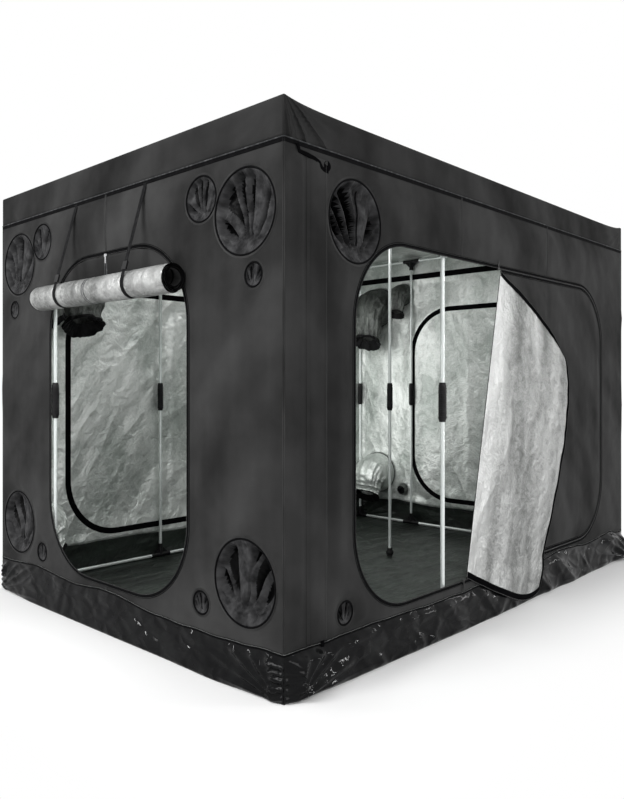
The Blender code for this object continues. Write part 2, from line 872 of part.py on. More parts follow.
def build_front_door(charcoal):
    """The door of the front wall: the part still zipped, and the flap folded back over it."""
    inset = gap
    whole = wide_door_outline(inset)
    bottom = wide_door_bottom + inset
    top = wide_door_top - inset
    foot = (fold_foot_across + fold_slope * (bottom - fold_foot_high) + fold_clear, bottom)
    head = (fold_foot_across + fold_slope * (top - fold_foot_high) + fold_clear, top)
    kept = [tuple(point) for point in whole[: 2 * (arc_steps + 1)]]
    outline = [foot, *kept, head]
    place_object("front_door_panel", sheet_mesh("front_door_panel", "front", outline), charcoal)
    shares = np.linspace(0, 1, flap_cells + 1)
    work = grid_sheet([[flap_point(across, up) for up in shares] for across in shares])
    face_out(work, Vector((0, -1, 0)))
    mesh = bpy.data.meshes.new("front_door_flap")
    work.to_mesh(mesh)
    work.free()
    axis = Vector((fold_foot_across, -half_width, fold_foot_high))
    mesh.transform(Matrix.Translation(-axis))
    thicken(place_object("front_door_flap", mesh, charcoal, axis), cloth, 1)


def build_closed_doors(charcoal):
    """The back door, which swings about its sewn side, and the right end door, sewn at its top."""
    mesh = sheet_mesh("back_door", "back", wide_door_outline(gap))
    axis = Vector((wide_door_right, half_width, 0))
    mesh.transform(Matrix.Translation(-axis))
    place_object("back_door", mesh, charcoal, axis)
    mesh = sheet_mesh("right_door", "right", end_door_outline(gap))
    axis = Vector((half_length, 0, end_door_top))
    mesh.transform(Matrix.Translation(-axis))
    place_object("right_door", mesh, charcoal, axis)


def end_door_half_at(down):
    """Half the end door's width at a distance below its top, measured along the cloth."""
    edge = end_door_outline(gap)[: 2 * (arc_steps + 1)]
    return float(np.interp(end_door_top - down, edge[:, 1], edge[:, 0]))


def roll_size():
    """The steps round the roll, and the radius of the sheet's middle at its outer and inner ends."""
    outer = roll_radius - door_sheet / 2
    long = roll_high - end_door_bottom
    turns = long / (math.pi * (outer + roll_core_radius))
    return int(round(turns * roll_turn_steps)), outer, roll_core_radius


def roll_spot(step, off=0):
    """A point of the roll a number of steps along it, at a distance outside the sheet's middle."""
    steps, outer, core = roll_size()
    radius = outer + (core - outer) * step / steps + off
    angle = -2 * math.pi * step / roll_turn_steps
    return roll_x + radius * math.cos(angle), roll_high + radius * math.sin(angle)


def roll_leave(off=0):
    """Points where the sheet leaves the wall's plane for the back of the roll, from the top down."""
    plane = -half_length + door_sheet / 2
    shift = roll_spot(0)[0] - plane
    points = [(plane + off, roll_leave_high)]
    for share in roll_leave_shares:
        ease = share * share * (3 - 2 * share)
        points.append((plane + off + shift * ease, roll_leave_high + (roll_high - roll_leave_high) * share))
    return points


def roll_path():
    """The rolled door from its top edge to its inner end: x, z and how far down the cloth each row is.

    It hangs down in the plane of the wall, leaves it, runs down the back of the roll and under it,
    and winds inwards at a steady rate.
    """
    plane = -half_length + door_sheet / 2
    hanging = [(plane, end_door_top - gap), (plane, (end_door_top + roll_leave_high) / 2), *roll_leave()]
    path = [(x, z, end_door_top - z) for x, z in hanging]
    down = end_door_top - roll_high
    for step in range(roll_size()[0] + 1):
        x, z = roll_spot(step)
        path.append((x, z, down))
        down += math.dist((x, z), (roll_x, roll_high)) * 2 * math.pi / roll_turn_steps
    return path


def build_rolled_door(silver):
    """The left end door, rolled up outwards with its silver face outside."""
    rows = []
    for x, z, down in roll_path():
        half = end_door_half_at(down)
        rows.append([(x, -half, z), (x, half, z)])
    work = grid_sheet(rows)
    mesh = bpy.data.meshes.new("rolled_door")
    work.to_mesh(mesh)
    work.free()
    thicken(place_object("rolled_door", mesh, silver), door_sheet, 0)


def strip(name, path, across, thickness, finish):
    """A flat strip of webbing along a path of x and z, at one place across."""
    half = strap_wide / 2
    work = grid_sheet([[(x, across - half, z), (x, across + half, z)] for x, z in path])
    mesh = bpy.data.meshes.new(name)
    work.to_mesh(mesh)
    work.free()
    thicken(place_object(name, mesh, finish), thickness, 0)


def strap_line():
    """A strap's straight run: its top on the wall, where it meets the roll, its way and the angle there."""
    top = np.array((-half_length - gap - strap_thick / 2, welt_foot(piping_height / 2) - strap_bend))
    middle = np.array((roll_x, roll_high))
    across = top - middle
    far = np.linalg.norm(across)
    lean = math.atan2(across[1], across[0])
    reach = roll_radius
    for _ in range(2):
        angle = lean + math.acos(reach / far)
        turned = (2 * math.pi - angle) / (2 * math.pi)
        reach = math.dist(roll_spot(turned * roll_turn_steps, strap_off()), middle)
    touch = middle + reach * np.array((math.cos(angle), math.sin(angle)))
    way = (touch - top) / np.linalg.norm(touch - top)
    return top, touch, way, angle


def strap_off():
    """How far the strap's middle lies outside the middle of the sheet that it goes round."""
    return door_sheet / 2 + gap + strap_thick / 2


def welt_foot(below):
    """A height just under the welt's outer or inner lip."""
    return web_bottom + welt_web / 2 - below - gap


def build_straps(webbing, plastic):
    """Each strap in two lengths, with a buckle half on each."""
    top, touch, way, angle = strap_line()
    back = -way
    joint = touch + back * (buckle_off_roll + buckle_base_long)
    head = joint + back * (gap + buckle_socket_long)
    upper = [(top[0], top[1] + strap_bend), top, head + way * (buckle_strap_pocket - gap)]
    foot = touch + back * (buckle_off_roll + buckle_strap_pocket - gap)
    lower = [foot, touch]
    first = int((2 * math.pi - angle) / (2 * math.pi) * roll_turn_steps)
    lower += [roll_spot(step, strap_off()) for step in range(first, -1, -1)]
    lower += list(reversed(roll_leave(strap_off())))
    lower.append((lower[-1][0], welt_foot(tape_below)))
    tilt = math.atan2(-way[0], -way[1])
    for side, across in (("front", strap_front_across), ("back", strap_back_across)):
        strip(f"strap_upper_{side}", upper, across, strap_thick, webbing)
        strip(f"strap_lower_{side}", lower, across, strap_thick, webbing)
        place_buckle(side, across, joint, tilt, plastic)


def place_buckle(side, across, joint, tilt, plastic):
    """The two halves of one buckle, meeting at a joint on the strap's straight run."""
    for kind, mesh in (("socket", buckle_socket_mesh()), ("prongs", buckle_prong_mesh())):
        turn = Matrix.Rotation(tilt, 4, "Y") @ Matrix.Rotation(math.pi / 2, 4, "Z")
        mesh.transform(turn)
        place_object(f"buckle_{kind}_{side}", mesh, plastic, (joint[0], across, joint[1]))


def flat_block(name, half_x, low_y, high_y, low_z, high_z):
    """A plain block, for a cut or a base."""
    return plate(name, box_outline(-half_x, half_x, low_y, high_y), low_z, high_z)


def upright(mesh):
    """Stands a mesh that was drawn flat up: its Y becomes Z, its thickness becomes -Y."""
    mesh.transform(Matrix.Rotation(math.pi / 2, 4, "X"))
    return mesh


def buckle_socket_mesh():
    """The socket half: a flat tube, open below for the prongs, with a window at each side."""
    half = buckle_wide / 2
    shoulder = half - buckle_wall
    outline = [
        (-half, 0),
        (half, 0),
        (half, buckle_socket_long - 2 * buckle_wall),
        (shoulder, buckle_socket_long),
        (-shoulder, buckle_socket_long),
        (-half, buckle_socket_long - 2 * buckle_wall),
    ]
    base = plate("socket_base", outline, -buckle_thick / 2, buckle_thick / 2)
    room = prong_thick / 2 + gap
    inside = flat_block("socket_room", shoulder, -overrun, prong_long + gap, -room, room)
    low = prong_long - buckle_window
    window = flat_block("socket_window", half + overrun, low, prong_long - buckle_wall, -room, room)
    slit = strap_thick / 2 + gap
    deep = buckle_socket_long - buckle_strap_pocket
    far = buckle_socket_long + overrun
    pocket = flat_block("socket_pocket", strap_wide / 2 + gap, deep, far, -slit, slit)
    return upright(baked("buckle_socket", base, (), [inside, window, pocket]))


def buckle_prong_mesh():
    """The prong half: a base that holds the webbing, two springy prongs with barbs and a guide."""
    half = buckle_wide / 2
    thick = buckle_thick / 2
    base = flat_block("prong_base", half, -gap - buckle_base_long, -gap, -thick, thick)
    flat = prong_thick / 2
    reach = half - buckle_wall - gap
    tip = prong_long - gap
    prongs = []
    for side in (-1, 1):
        outline = [
            (side * (reach - prong_wide), -2 * gap - overrun),
            (side * reach, -2 * gap - overrun),
            (side * (reach - prong_barb), tip - buckle_window),
            (side * reach, tip - buckle_window + buckle_wall / 2),
            (side * reach, tip - buckle_window / 2),
            (side * (reach - prong_wide / 2), tip),
            (side * (reach - prong_wide), tip),
        ]
        prongs.append(plate("prong", outline, -flat, flat))
    guide = flat_block("prong_guide", prong_wide / 2, -overrun, tip, -flat, flat)
    slit = strap_thick / 2 + gap
    low = -gap - buckle_base_long
    head = low + buckle_strap_pocket
    pocket = flat_block("prong_pocket", strap_wide / 2 + gap, low - overrun, head, -slit, slit)
    return upright(baked("buckle_prongs", base, [*prongs, guide], [pocket]))


def slider_mesh(name, nose_way, hang_way):
    """A zip slider: a body that tapers to its nose, and a pull that lies over it.

    Drawn on the wall's plane, with its zip along X. The ways are 1 or -1: where the nose points along
    X, and where the pull points along Y.
    """
    half = slider_wide / 2
    nose = slider_nose_wide / 2
    long = slider_long / 2
    outline = [(-long, -half), (0, -half), (long, -nose), (long, nose), (0, half), (-long, half)]
    body_outline = [(nose_way * across, along) for across, along in outline]
    body = plate(name + "_body", body_outline, 0, slider_high - pull_thick / 2)
    head = pull_wide / 2
    hole_along = head + pull_long - 2 * pull_hole - pull_wide / 4
    hole = [(across, hang_way * (hole_along + along)) for across, along in circle(pull_hole, sides // 2)]
    outline = [
        (-pull_wide / 3, -head),
        (-pull_wide / 2, head),
        (-pull_wide / 2, head + pull_long),
        (pull_wide / 2, head + pull_long),
        (pull_wide / 2, head),
        (pull_wide / 3, -head),
    ]
    pull_outline = [(across, hang_way * along) for across, along in outline]
    pull = plate(name + "_pull", pull_outline, slider_high - pull_thick, slider_high, hole)
    return baked(name, body, [pull])


def place_slider(name, wall, across, high, ways, metal):
    """A slider on the outer face of a wall, over the seam of its zip."""
    mesh = slider_mesh(name, *ways)
    mesh.transform(Matrix.Rotation(math.pi / 2, 4, "X"))
    turn = {"front": 0, "back": math.pi, "left": -math.pi / 2, "right": math.pi / 2}[wall]
    place_object(name, mesh, metal, wall_place(wall)(across, -gap, high), (0, 0, turn))


def build_sliders(metal):
    """The sliders of the doors."""
    ahead = slider_long / 2 + slider_wide + gap
    top = fold_foot_across + fold_slope * (wide_door_top - fold_foot_high) - ahead
    foot = fold_foot_across + fold_slope * (wide_door_bottom - fold_foot_high) - ahead
    place_slider("front_door_slider_top", "front", top, wide_door_top, (1, 1), metal)
    place_slider("front_door_slider_low", "front", foot, wide_door_bottom, (1, -1), metal)
    place_slider("left_door_slider", "left", 2 * slider_long, end_door_top, (1, -1), metal)
    place_slider("right_door_slider", "right", 0, end_door_bottom, (1, -1), metal)
    place_slider("back_door_slider", "back", 0, wide_door_bottom, (1, -1), metal)


def storm_outline():
    """The storm flap's outline: a strip, a round lobe at its head, a round tab on a neck at its foot."""
    left = storm_left
    right = storm_left + storm_wide
    quarter = math.pi / 2
    neck = right - tab_radius
    drop = math.sqrt(tab_radius**2 - (tab_neck_wide / 2) ** 2)
    open_angle = math.asin(tab_neck_wide / 2 / tab_radius)
    tab = arc((neck, tab_high), tab_radius, quarter + open_angle, 5 * quarter - open_angle, 2 * arc_steps)
    lobe = arc((right, storm_top - lobe_radius), lobe_radius, -quarter, quarter)
    outline = [(left, storm_bottom), (neck - tab_neck_wide / 2, storm_bottom)]
    outline += [tuple(point) for point in tab if point[1] <= tab_high + drop]
    outline += [(neck + tab_neck_wide / 2, storm_bottom), (right, storm_bottom)]
    outline += [tuple(point) for point in lobe]
    outline.append((left, storm_top))
    return outline


def build_storm_flap(charcoal):
    """The cloth that covers the corner zip: sewn along one edge, and clear of the slider under it."""
    stand = gap + storm_stand
    cover = plate("storm_cover", storm_outline(), stand, stand + storm_thick)
    foot_right = storm_left + storm_foot_wide
    foot_outline = box_outline(storm_left, foot_right, storm_bottom, storm_top)
    foot = plate("storm_foot", foot_outline, gap, stand + storm_thick / 2)
    mesh = baked("corner_storm_flap", cover, [moved(foot, (gap, 0, 0))])
    mesh.transform(Matrix.Translation(Vector((0, -half_width, 0))) @ Matrix.Rotation(math.pi / 2, 4, "X"))
    place_object("corner_storm_flap", mesh, charcoal)


def main():
    """Builds the tent."""
    clear_scene()
    steel = material("white steel tube", (0.78, 0.80, 0.79), 0.28, 0.4)
    black = material("black moulded plastic", (0.012, 0.012, 0.013), 0.45)
    rubber = material("black rubber", (0.010, 0.010, 0.010), 0.7)
    charcoal = material("charcoal cloth", (0.045, 0.046, 0.047), 0.85)
    vinyl = material("glossy black vinyl", (0.008, 0.008, 0.009), 0.18)
    silver = material("silver lining", (0.62, 0.63, 0.61), 0.32, 0.75)
    tape = material("black tape", (0.010, 0.010, 0.010), 0.6)
    webbing = material("black webbing", (0.012, 0.012, 0.013), 0.75)
    zinc = material("zinc slider", (0.55, 0.55, 0.56), 0.3, 0.9)
    build_frame(steel, black, rubber)
    build_tub(vinyl)
    build_walls(charcoal)
    build_cap(charcoal)
    build_welt(tape)
    build_front_door(charcoal)
    build_closed_doors(charcoal)
    build_rolled_door(silver)
    build_straps(webbing, black)
    build_sliders(zinc)
    build_storm_flap(charcoal)


main()
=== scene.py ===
"""Looks of an indoor grow tent: cloth, silver lining, zips, ports, poles and the studio round it.

Metres, +Z up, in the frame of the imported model. The front wall faces -Y and the left end -X.
"""

import logging
import math
from collections.abc import Sequence
from dataclasses import dataclass, field, replace
from enum import Enum
from typing import Any

import bmesh
import bpy
import numpy as np
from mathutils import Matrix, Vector


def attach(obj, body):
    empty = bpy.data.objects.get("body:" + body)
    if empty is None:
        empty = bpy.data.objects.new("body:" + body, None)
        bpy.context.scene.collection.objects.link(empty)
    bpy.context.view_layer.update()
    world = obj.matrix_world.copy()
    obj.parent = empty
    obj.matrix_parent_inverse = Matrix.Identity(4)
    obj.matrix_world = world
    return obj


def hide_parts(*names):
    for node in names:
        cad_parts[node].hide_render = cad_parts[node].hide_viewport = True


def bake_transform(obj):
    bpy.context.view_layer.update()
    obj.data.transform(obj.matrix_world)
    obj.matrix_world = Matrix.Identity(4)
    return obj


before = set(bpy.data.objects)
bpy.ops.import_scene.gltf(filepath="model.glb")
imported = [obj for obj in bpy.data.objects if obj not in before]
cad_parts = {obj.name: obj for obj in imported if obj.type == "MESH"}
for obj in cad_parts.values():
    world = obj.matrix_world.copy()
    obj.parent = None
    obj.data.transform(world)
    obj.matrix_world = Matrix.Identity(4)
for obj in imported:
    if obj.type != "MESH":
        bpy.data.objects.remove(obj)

Array = np.ndarray
Colour = tuple[float, float, float, float]
log = logging.getLogger("grow_tent")

TENT = "tent"
HALF_LONG = 1.8
HALF_WIDE = 1.2
CORNER = 0.012
CLOTH = 0.0012
TUB_TOP = 0.19
WALL_TOP = 2.236
TURN = 2 * math.pi
LINED = {"thick": CLOTH, "lining": 1, "record": "charcoal_cloth"}


def linear(red: float, green: float, blue: float) -> Colour:
    """Turn a colour as it looks on a screen, 0 to 255, into the shader's linear values.

    Args:
        red: red as seen.
        green: green as seen.
        blue: blue as seen.

    Returns:
        The linear colour with full opacity.
    """
    seen = np.array([red, green, blue]) / 255.0
    low = seen / 12.92
    high = ((seen + 0.055) / 1.055) ** 2.4
    return (*(float(x) for x in np.where(seen <= 0.04045, low, high)), 1.0)


def ease(value: Array, low: float, high: float) -> Array:
    """Rise smoothly from 0 at low to 1 at high: 3t squared minus 2t cubed.

    Args:
        value: where to read the rise.
        low: where it starts.
        high: where it ends.

    Returns:
        The share, from 0 to 1.
    """
    t = np.clip((value - low) / (high - low), 0.0, 1.0)
    return t * t * (3.0 - 2.0 * t)


def lattice(u: Array, v: Array, seed: int) -> Array:
    """Smooth random field: random values on whole numbers, eased in between.

    Args:
        u: first coordinate, one value per unit.
        v: second coordinate.
        seed: picks the field.

    Returns:
        Values from 0 to 1.
    """
    table = np.random.default_rng(seed).random((64, 64))
    iu, iv = np.floor(u).astype(int), np.floor(v).astype(int)
    su, sv = ease(u - iu, 0.0, 1.0), ease(v - iv, 0.0, 1.0)
    a, b = table[iu % 64, iv % 64], table[(iu + 1) % 64, iv % 64]
    c, d = table[iu % 64, (iv + 1) % 64], table[(iu + 1) % 64, (iv + 1) % 64]
    return (a * (1 - su) + b * su) * (1 - sv) + (c * (1 - su) + d * su) * sv


def creases(u: Array, v: Array, seed: int, layers: int = 3) -> Array:
    """Sharp-topped folds: one minus the distance of a smooth field from its middle, in finer layers.

    Args:
        u: first coordinate, about one fold per unit.
        v: second coordinate.
        seed: picks the folds.
        layers: how many layers, each twice as fine and half as high.

    Returns:
        Values from 0 to 1, 1 on the crest of a fold.
    """
    total, weight = np.zeros_like(u + v), 0.0
    for layer in range(layers):
        size, share = 2.0**layer, 0.5**layer
        total = total + share * (1.0 - np.abs(2.0 * lattice(u * size, v * size, seed + layer) - 1.0))
        weight += share
    return total / weight


def spread(low: float, high: float, step: float) -> Array:
    """Even places from low to high, about a step apart."""
    return np.linspace(low, high, max(int(round((high - low) / step)), 1) + 1)


def pair(first: Array, second: Array) -> Array:
    """Two numbers for each point, along a new last axis."""
    return np.stack(np.broadcast_arrays(first, second), axis=-1)


def cell_middles(values: Array) -> Array:
    """The mean of the four points round each cell of a grid."""
    return 0.25 * (values[:-1, :-1] + values[1:, :-1] + values[1:, 1:] + values[:-1, 1:])


def open_run(path: Array, kept: Array) -> Array:
    """The kept part of a closed line, in order from its own start.

    Args:
        path: points (n, 2), the first repeated at the end.
        kept: which of the first n - 1 points stay; they lie in one run round the line.

    Returns:
        The run's points.
    """
    first = np.flatnonzero(kept & ~np.roll(kept, 1))[0]
    order = np.roll(np.arange(len(kept)), -first)
    return path[:-1][order[kept[order]]]


class Side(Enum):
    """The four walls of the tent."""

    FRONT = "front"
    BACK = "back"
    LEFT = "left"
    RIGHT = "right"

    @property
    def reach(self) -> float:
        """Half the tent's size along this wall."""
        return HALF_LONG if self in (Side.FRONT, Side.BACK) else HALF_WIDE

    @property
    def number(self) -> int:
        """The wall's place in the list, which picks its folds."""
        return list(Side).index(self)

    @property
    def turned(self) -> bool:
        """Whether across and up make a face that looks inwards."""
        return self in (Side.BACK, Side.LEFT)

    def places(self, step: float) -> Array:
        """Places across the wall, about a step apart, and four more up to each corner's arc."""
        flat, edge = self.reach - CORNER, self.reach - CORNER * (1 - math.pi / 4)
        turn = np.linspace(flat, edge, 5)[1:]
        return np.concatenate([-turn[::-1], spread(-flat, flat, step), turn])

    def point(self, across: Array, out: Array, high: Array) -> Array:
        """Place points given across the wall, out from its outer face, and up.

        Past the start of the corner's radius, the distance across runs round an arc of that radius.

        Args:
            across: along X on the long walls and along Y on the end walls.
            out: distance outwards from the outer face.
            high: height over the floor's underside.

        Returns:
            Points with a last axis of x, y, z.
        """
        across, out, high = np.broadcast_arrays(across, out, high)
        turn = np.maximum(np.abs(across) - (self.reach - CORNER), 0) / CORNER
        bent = np.sign(across) * (self.reach - CORNER + (CORNER + out) * np.sin(turn))
        across = np.where(turn > 0, bent, across)
        out = np.where(turn > 0, -CORNER + (CORNER + out) * np.cos(turn), out)
        spots = {
            Side.FRONT: (across, -HALF_WIDE - out, high),
            Side.BACK: (across, HALF_WIDE + out, high),
            Side.LEFT: (-HALF_LONG - out, across, high),
            Side.RIGHT: (HALF_LONG + out, across, high),
        }
        return np.stack(spots[self], axis=-1)


@dataclass(frozen=True)
class RoundedBox:
    """A door's outline on its wall."""

    left: float
    right: float
    bottom: float
    top: float
    corner: float

    def grown(self, by: float) -> "RoundedBox":
        """The same outline moved outwards by a distance."""
        return RoundedBox(self.left - by, self.right + by, self.bottom - by, self.top + by, self.corner + by)

    def distance(self, across: Array, high: Array) -> Array:
        """Distance to the outline, negative inside: the usual one of a box with round corners.

        Args:
            across: across the wall.
            high: up the wall.

        Returns:
            Signed distances.
        """
        half_wide, half_high = (self.right - self.left) / 2, (self.top - self.bottom) / 2
        qx = np.abs(across - (self.left + self.right) / 2) - (half_wide - self.corner)
        qz = np.abs(high - (self.bottom + self.top) / 2) - (half_high - self.corner)
        away = np.hypot(np.maximum(qx, 0), np.maximum(qz, 0))
        return away + np.minimum(np.maximum(qx, qz), 0) - self.corner

    def half_at(self, high: Array) -> tuple[Array, Array]:
        """The left and right edge at some heights, moved in by the corner's arc near top and foot.

        Args:
            high: the heights.

        Returns:
            Places of the left and of the right edge.
        """
        low = np.clip(self.bottom + self.corner - high, 0, self.corner)
        top = np.clip(high - self.top + self.corner, 0, self.corner)
        rise = np.maximum(low, top)
        bite = self.corner - np.sqrt(np.maximum(self.corner**2 - rise**2, 0))
        return self.left + bite, self.right - bite

    def path(self, step: float = 0.018) -> Array:
        """Points round the outline, anticlockwise from the middle of the foot: legs and quarter circles.

        Args:
            step: rough spacing of the points.

        Returns:
            Points (n, 2) with the first repeated at the end.
        """
        c = self.corner
        foot = ((self.left + self.right) / 2, self.bottom)
        legs = [("line", foot, (self.right - c, self.bottom))]
        for centre, start, after in (
            ((self.right - c, self.bottom + c), -90, (self.right, self.top - c)),
            ((self.right - c, self.top - c), 0, (self.left + c, self.top)),
            ((self.left + c, self.top - c), 90, (self.left, self.bottom + c)),
            ((self.left + c, self.bottom + c), 180, foot),
        ):
            legs.append(("arc", centre, (start, start + 90)))
            turn = math.radians(start + 90)
            end = (centre[0] + c * math.cos(turn), centre[1] + c * math.sin(turn))
            legs.append(("line", end, after))
        parts = []
        for kind, a, b in legs:
            if kind == "line":
                count = max(int(math.dist(a, b) / step), 1)
                t = np.linspace(0, 1, count, endpoint=False)[:, None]
                parts.append(np.array(a) * (1 - t) + np.array(b) * t)
            else:
                count = max(int(c * math.pi / 2 / step), 6)
                turns = np.radians(np.linspace(b[0], b[1], count, endpoint=False))
                parts.append(np.stack([a[0] + c * np.cos(turns), a[1] + c * np.sin(turns)], axis=1))
        return np.concatenate([*parts, parts[0][:1]])


END_DOOR = RoundedBox(-0.6, 0.6, 0.25, 1.92, 0.385)
WIDE_DOOR = RoundedBox(-1.345, 1.41, 0.24, 1.905, 0.38)


class PortKind(Enum):
    """The sizes of port, as their radius."""

    LARGE = 0.18
    MEDIUM = 0.10
    SMALL = 0.05


@dataclass(frozen=True)
class Port:
    """A round opening with its sock, at a place on a wall."""

    across: float
    high: float
    kind: PortKind
    hang: float = 1.0

    @property
    def radius(self) -> float:
        """The opening's radius."""
        return self.kind.value


END_PORTS = tuple(
    Port(side * across, high, kind, hang)
    for side in (-1, 1)
    for across, high, kind, hang in (
        (0.975, 1.977, PortKind.LARGE, 1.0),
        (0.975, 0.44, PortKind.LARGE, 0.6),
        (0.70, 2.075, PortKind.MEDIUM, 1.0),
        (1.03, 1.71, PortKind.SMALL, 0.0),
        (0.70, 0.302, PortKind.SMALL, 0.0),
    )
)
SIDE_PORTS = (Port(-1.346, 1.968, PortKind.LARGE), Port(-1.419, 0.282, PortKind.SMALL, 0.0))


class Value:
    """A number that runs through the shader's nodes, with the usual operators."""

    def __init__(self, build: "Nodes", socket: bpy.types.NodeSocket) -> None:
        """Hold an output socket and the nodes that it belongs to."""
        self.build = build
        self.socket = socket

    def _math(self, operation: str, *others: Any, first: bool = True) -> "Value":
        """Add one Math node.

        Args:
            operation: the node's operation.
            others: its other operands.
            first: whether this value is the first operand.

        Returns:
            The result.
        """
        operands = (self, *others) if first else (*others, self)
        made = self.build.node("ShaderNodeMath", {"operation": operation}, dict(enumerate(operands)))
        return Value(self.build, made.outputs[0])

    def __add__(self, other: Any) -> "Value":
        """Sum."""
        return self._math("ADD", other)

    __radd__ = __add__

    def __mul__(self, other: Any) -> "Value":
        """Product."""
        return self._math("MULTIPLY", other)

    __rmul__ = __mul__

    def __sub__(self, other: Any) -> "Value":
        """Difference."""
        return self._math("SUBTRACT", other)

    def __rsub__(self, other: Any) -> "Value":
        """Difference, with this value taken away."""
        return self._math("SUBTRACT", other, first=False)

    def __pow__(self, other: float) -> "Value":
        """Power."""
        return self._math("POWER", other)

    def sine(self) -> "Value":
        """Sine of this value in radians."""
        return self._math("SINE")

    def size(self) -> "Value":
        """Value without its sign."""
        return self._math("ABSOLUTE")

    def most(self, other: Any) -> "Value":
        """The larger of two values."""
        return self._math("MAXIMUM", other)

    def angle(self, across: "Value") -> "Value":
        """Angle of this height over a distance across."""
        return self._math("ARCTAN2", across)

    def between(self, low: float, high: float) -> "Value":
        """Ease from 0 at low to 1 at high: 3t squared minus 2t cubed.

        Args:
            low: where the rise starts.
            high: where it ends.

        Returns:
            The share, from 0 to 1.
        """
        settings = {"interpolation_type": "SMOOTHSTEP", "clamp": True}
        made = self.build.node("ShaderNodeMapRange", settings, {0: self, 1: low, 2: high, 3: 0.0, 4: 1.0})
        return Value(self.build, made.outputs[0])


class Nodes:
    """The nodes of a material or of the world, with one way to add a node."""

    def __init__(self, tree: bpy.types.NodeTree) -> None:
        """Hold the tree that the nodes go into."""
        self.tree = tree

    def node(self, kind: str, settings: dict[str, Any], sockets: dict[Any, Any]) -> bpy.types.Node:
        """Add a node: its settings first, then the values or links of its sockets.

        Args:
            kind: the node's type.
            settings: properties by name.
            sockets: values, links or Values by socket name or number.

        Returns:
            The node.
        """
        made = self.tree.nodes.new(kind)
        for key, value in settings.items():
            setattr(made, key, value)
        for key, value in sockets.items():
            self.feed(made.inputs[key], value)
        return made

    def feed(self, socket: bpy.types.NodeSocket, value: Any) -> None:
        """Link or set one socket.

        Args:
            socket: the input.
            value: a Value, an output socket or a plain value.
        """
        if isinstance(value, Value):
            self.tree.links.new(value.socket, socket)
        elif isinstance(value, bpy.types.NodeSocket):
            self.tree.links.new(value, socket)
        else:
            socket.default_value = value

    def seen(self) -> Value:
        """1 for the camera's rays, glossy and transmitted ones, 0 for light that falls on things."""
        rays = self.node("ShaderNodeLightPath", {}, {}).outputs
        kinds = ("Camera", "Glossy", "Transmission")
        camera, glossy, through = (Value(self, rays[f"Is {kind} Ray"]) for kind in kinds)
        return camera.most(glossy).most(through)


class Shader(Nodes):
    """One material with a Principled shader, and the nodes that feed it."""

    def __init__(self, name: str) -> None:
        """Start a material with its shader and output."""
        self.material = bpy.data.materials.new(name)
        self.material.use_nodes = True
        super().__init__(self.material.node_tree)
        self.base = self.tree.nodes["Principled BSDF"]

    def mapped(self, place: bpy.types.NodeSocket, **settings: Any) -> bpy.types.NodeSocket:
        """A place through one Mapping node, turned or stretched."""
        return self.node("ShaderNodeMapping", {}, {"Vector": place, **settings}).outputs[0]

    def cloth(self, wide: float = 1.0, long: float = 1.0, turn: float = 0.0) -> bpy.types.NodeSocket:
        """The place on the flat cloth in metres, from the piece's own map: turned, then stretched.

        Args:
            wide: the stretch of the first coordinate.
            long: the stretch of the second.
            turn: the turn before it, in radians.

        Returns:
            The place's socket.
        """
        place = self.node("ShaderNodeUVMap", {"uv_map": "Cloth"}, {}).outputs[0]
        if turn:
            place = self.mapped(place, Rotation=(0.0, 0.0, turn))
        return self.mapped(place, Scale=(wide, long, 1.0))

    def place(self, scale: Sequence[float] = (1.0, 1.0, 1.0)) -> bpy.types.NodeSocket:
        """The place in the tent's own frame, stretched."""
        made = self.node("ShaderNodeTexCoord", {}, {})
        return self.mapped(made.outputs["Object"], Scale=tuple(scale))

    def parts(self, vector: bpy.types.NodeSocket) -> tuple[Value, Value, Value]:
        """The three numbers of a vector."""
        made = self.node("ShaderNodeSeparateXYZ", {}, {0: vector})
        return tuple(Value(self, made.outputs[number]) for number in range(3))

    def pack(self, x: Any, y: Any = 0.0) -> bpy.types.NodeSocket:
        """A vector of two numbers."""
        return self.node("ShaderNodeCombineXYZ", {}, {0: x, 1: y}).outputs[0]

    def noise(self, vector: bpy.types.NodeSocket, scale: float, detail: float, rough: float) -> Value:
        """Soft noise.

        Args:
            vector: the place.
            scale: how many swells there are to a metre.
            detail: how many finer layers are added.
            rough: how strong each is beside the one before.

        Returns:
            The noise, from 0 to 1.
        """
        sockets = {"Vector": vector, "Scale": scale, "Detail": detail, "Roughness": rough}
        return Value(self, self.node("ShaderNodeTexNoise", {}, sockets).outputs["Fac"])

    def cells(self, vector: bpy.types.NodeSocket, scale: float) -> Value:
        """Distance to the edge of random cells."""
        settings = {"feature": "DISTANCE_TO_EDGE"}
        made = self.node("ShaderNodeTexVoronoi", settings, {"Vector": vector, "Scale": scale})
        return Value(self, made.outputs["Distance"])

    def blend(self, share: Value, first: Any, second: Any) -> bpy.types.NodeSocket:
        """Mix two colours by a share."""
        made = self.node("ShaderNodeMix", {"data_type": "RGBA"}, {0: share, 6: first, 7: second})
        return made.outputs[2]

    def bump(self, height: Value, depth: float, strength: float = 1.0) -> None:
        """Feed a height in shares of a depth in metres to the shader's normal."""
        made = self.node("ShaderNodeBump", {}, {"Strength": strength, "Distance": depth, "Height": height})
        self.feed(self.base.inputs["Normal"], made.outputs[0])

    def set(self, **values: Any) -> None:
        """Set the shader's own sockets, with _ for a space."""
        for name, value in values.items():
            self.feed(self.base.inputs[name.replace("_", " ")], value)


class Finish:
    """A named finish, made once and then shared."""

    name: str
    _made: dict[str, bpy.types.Material] = {}

    def get(self) -> bpy.types.Material:
        """The material, built at first use."""
        if self.name not in Finish._made:
            shader = Shader(self.name)
            self.dress(shader)
            Finish._made[self.name] = shader.material
        return Finish._made[self.name]

    def dress(self, s: Shader) -> None:
        """Add the finish to a shader."""
        raise NotImplementedError


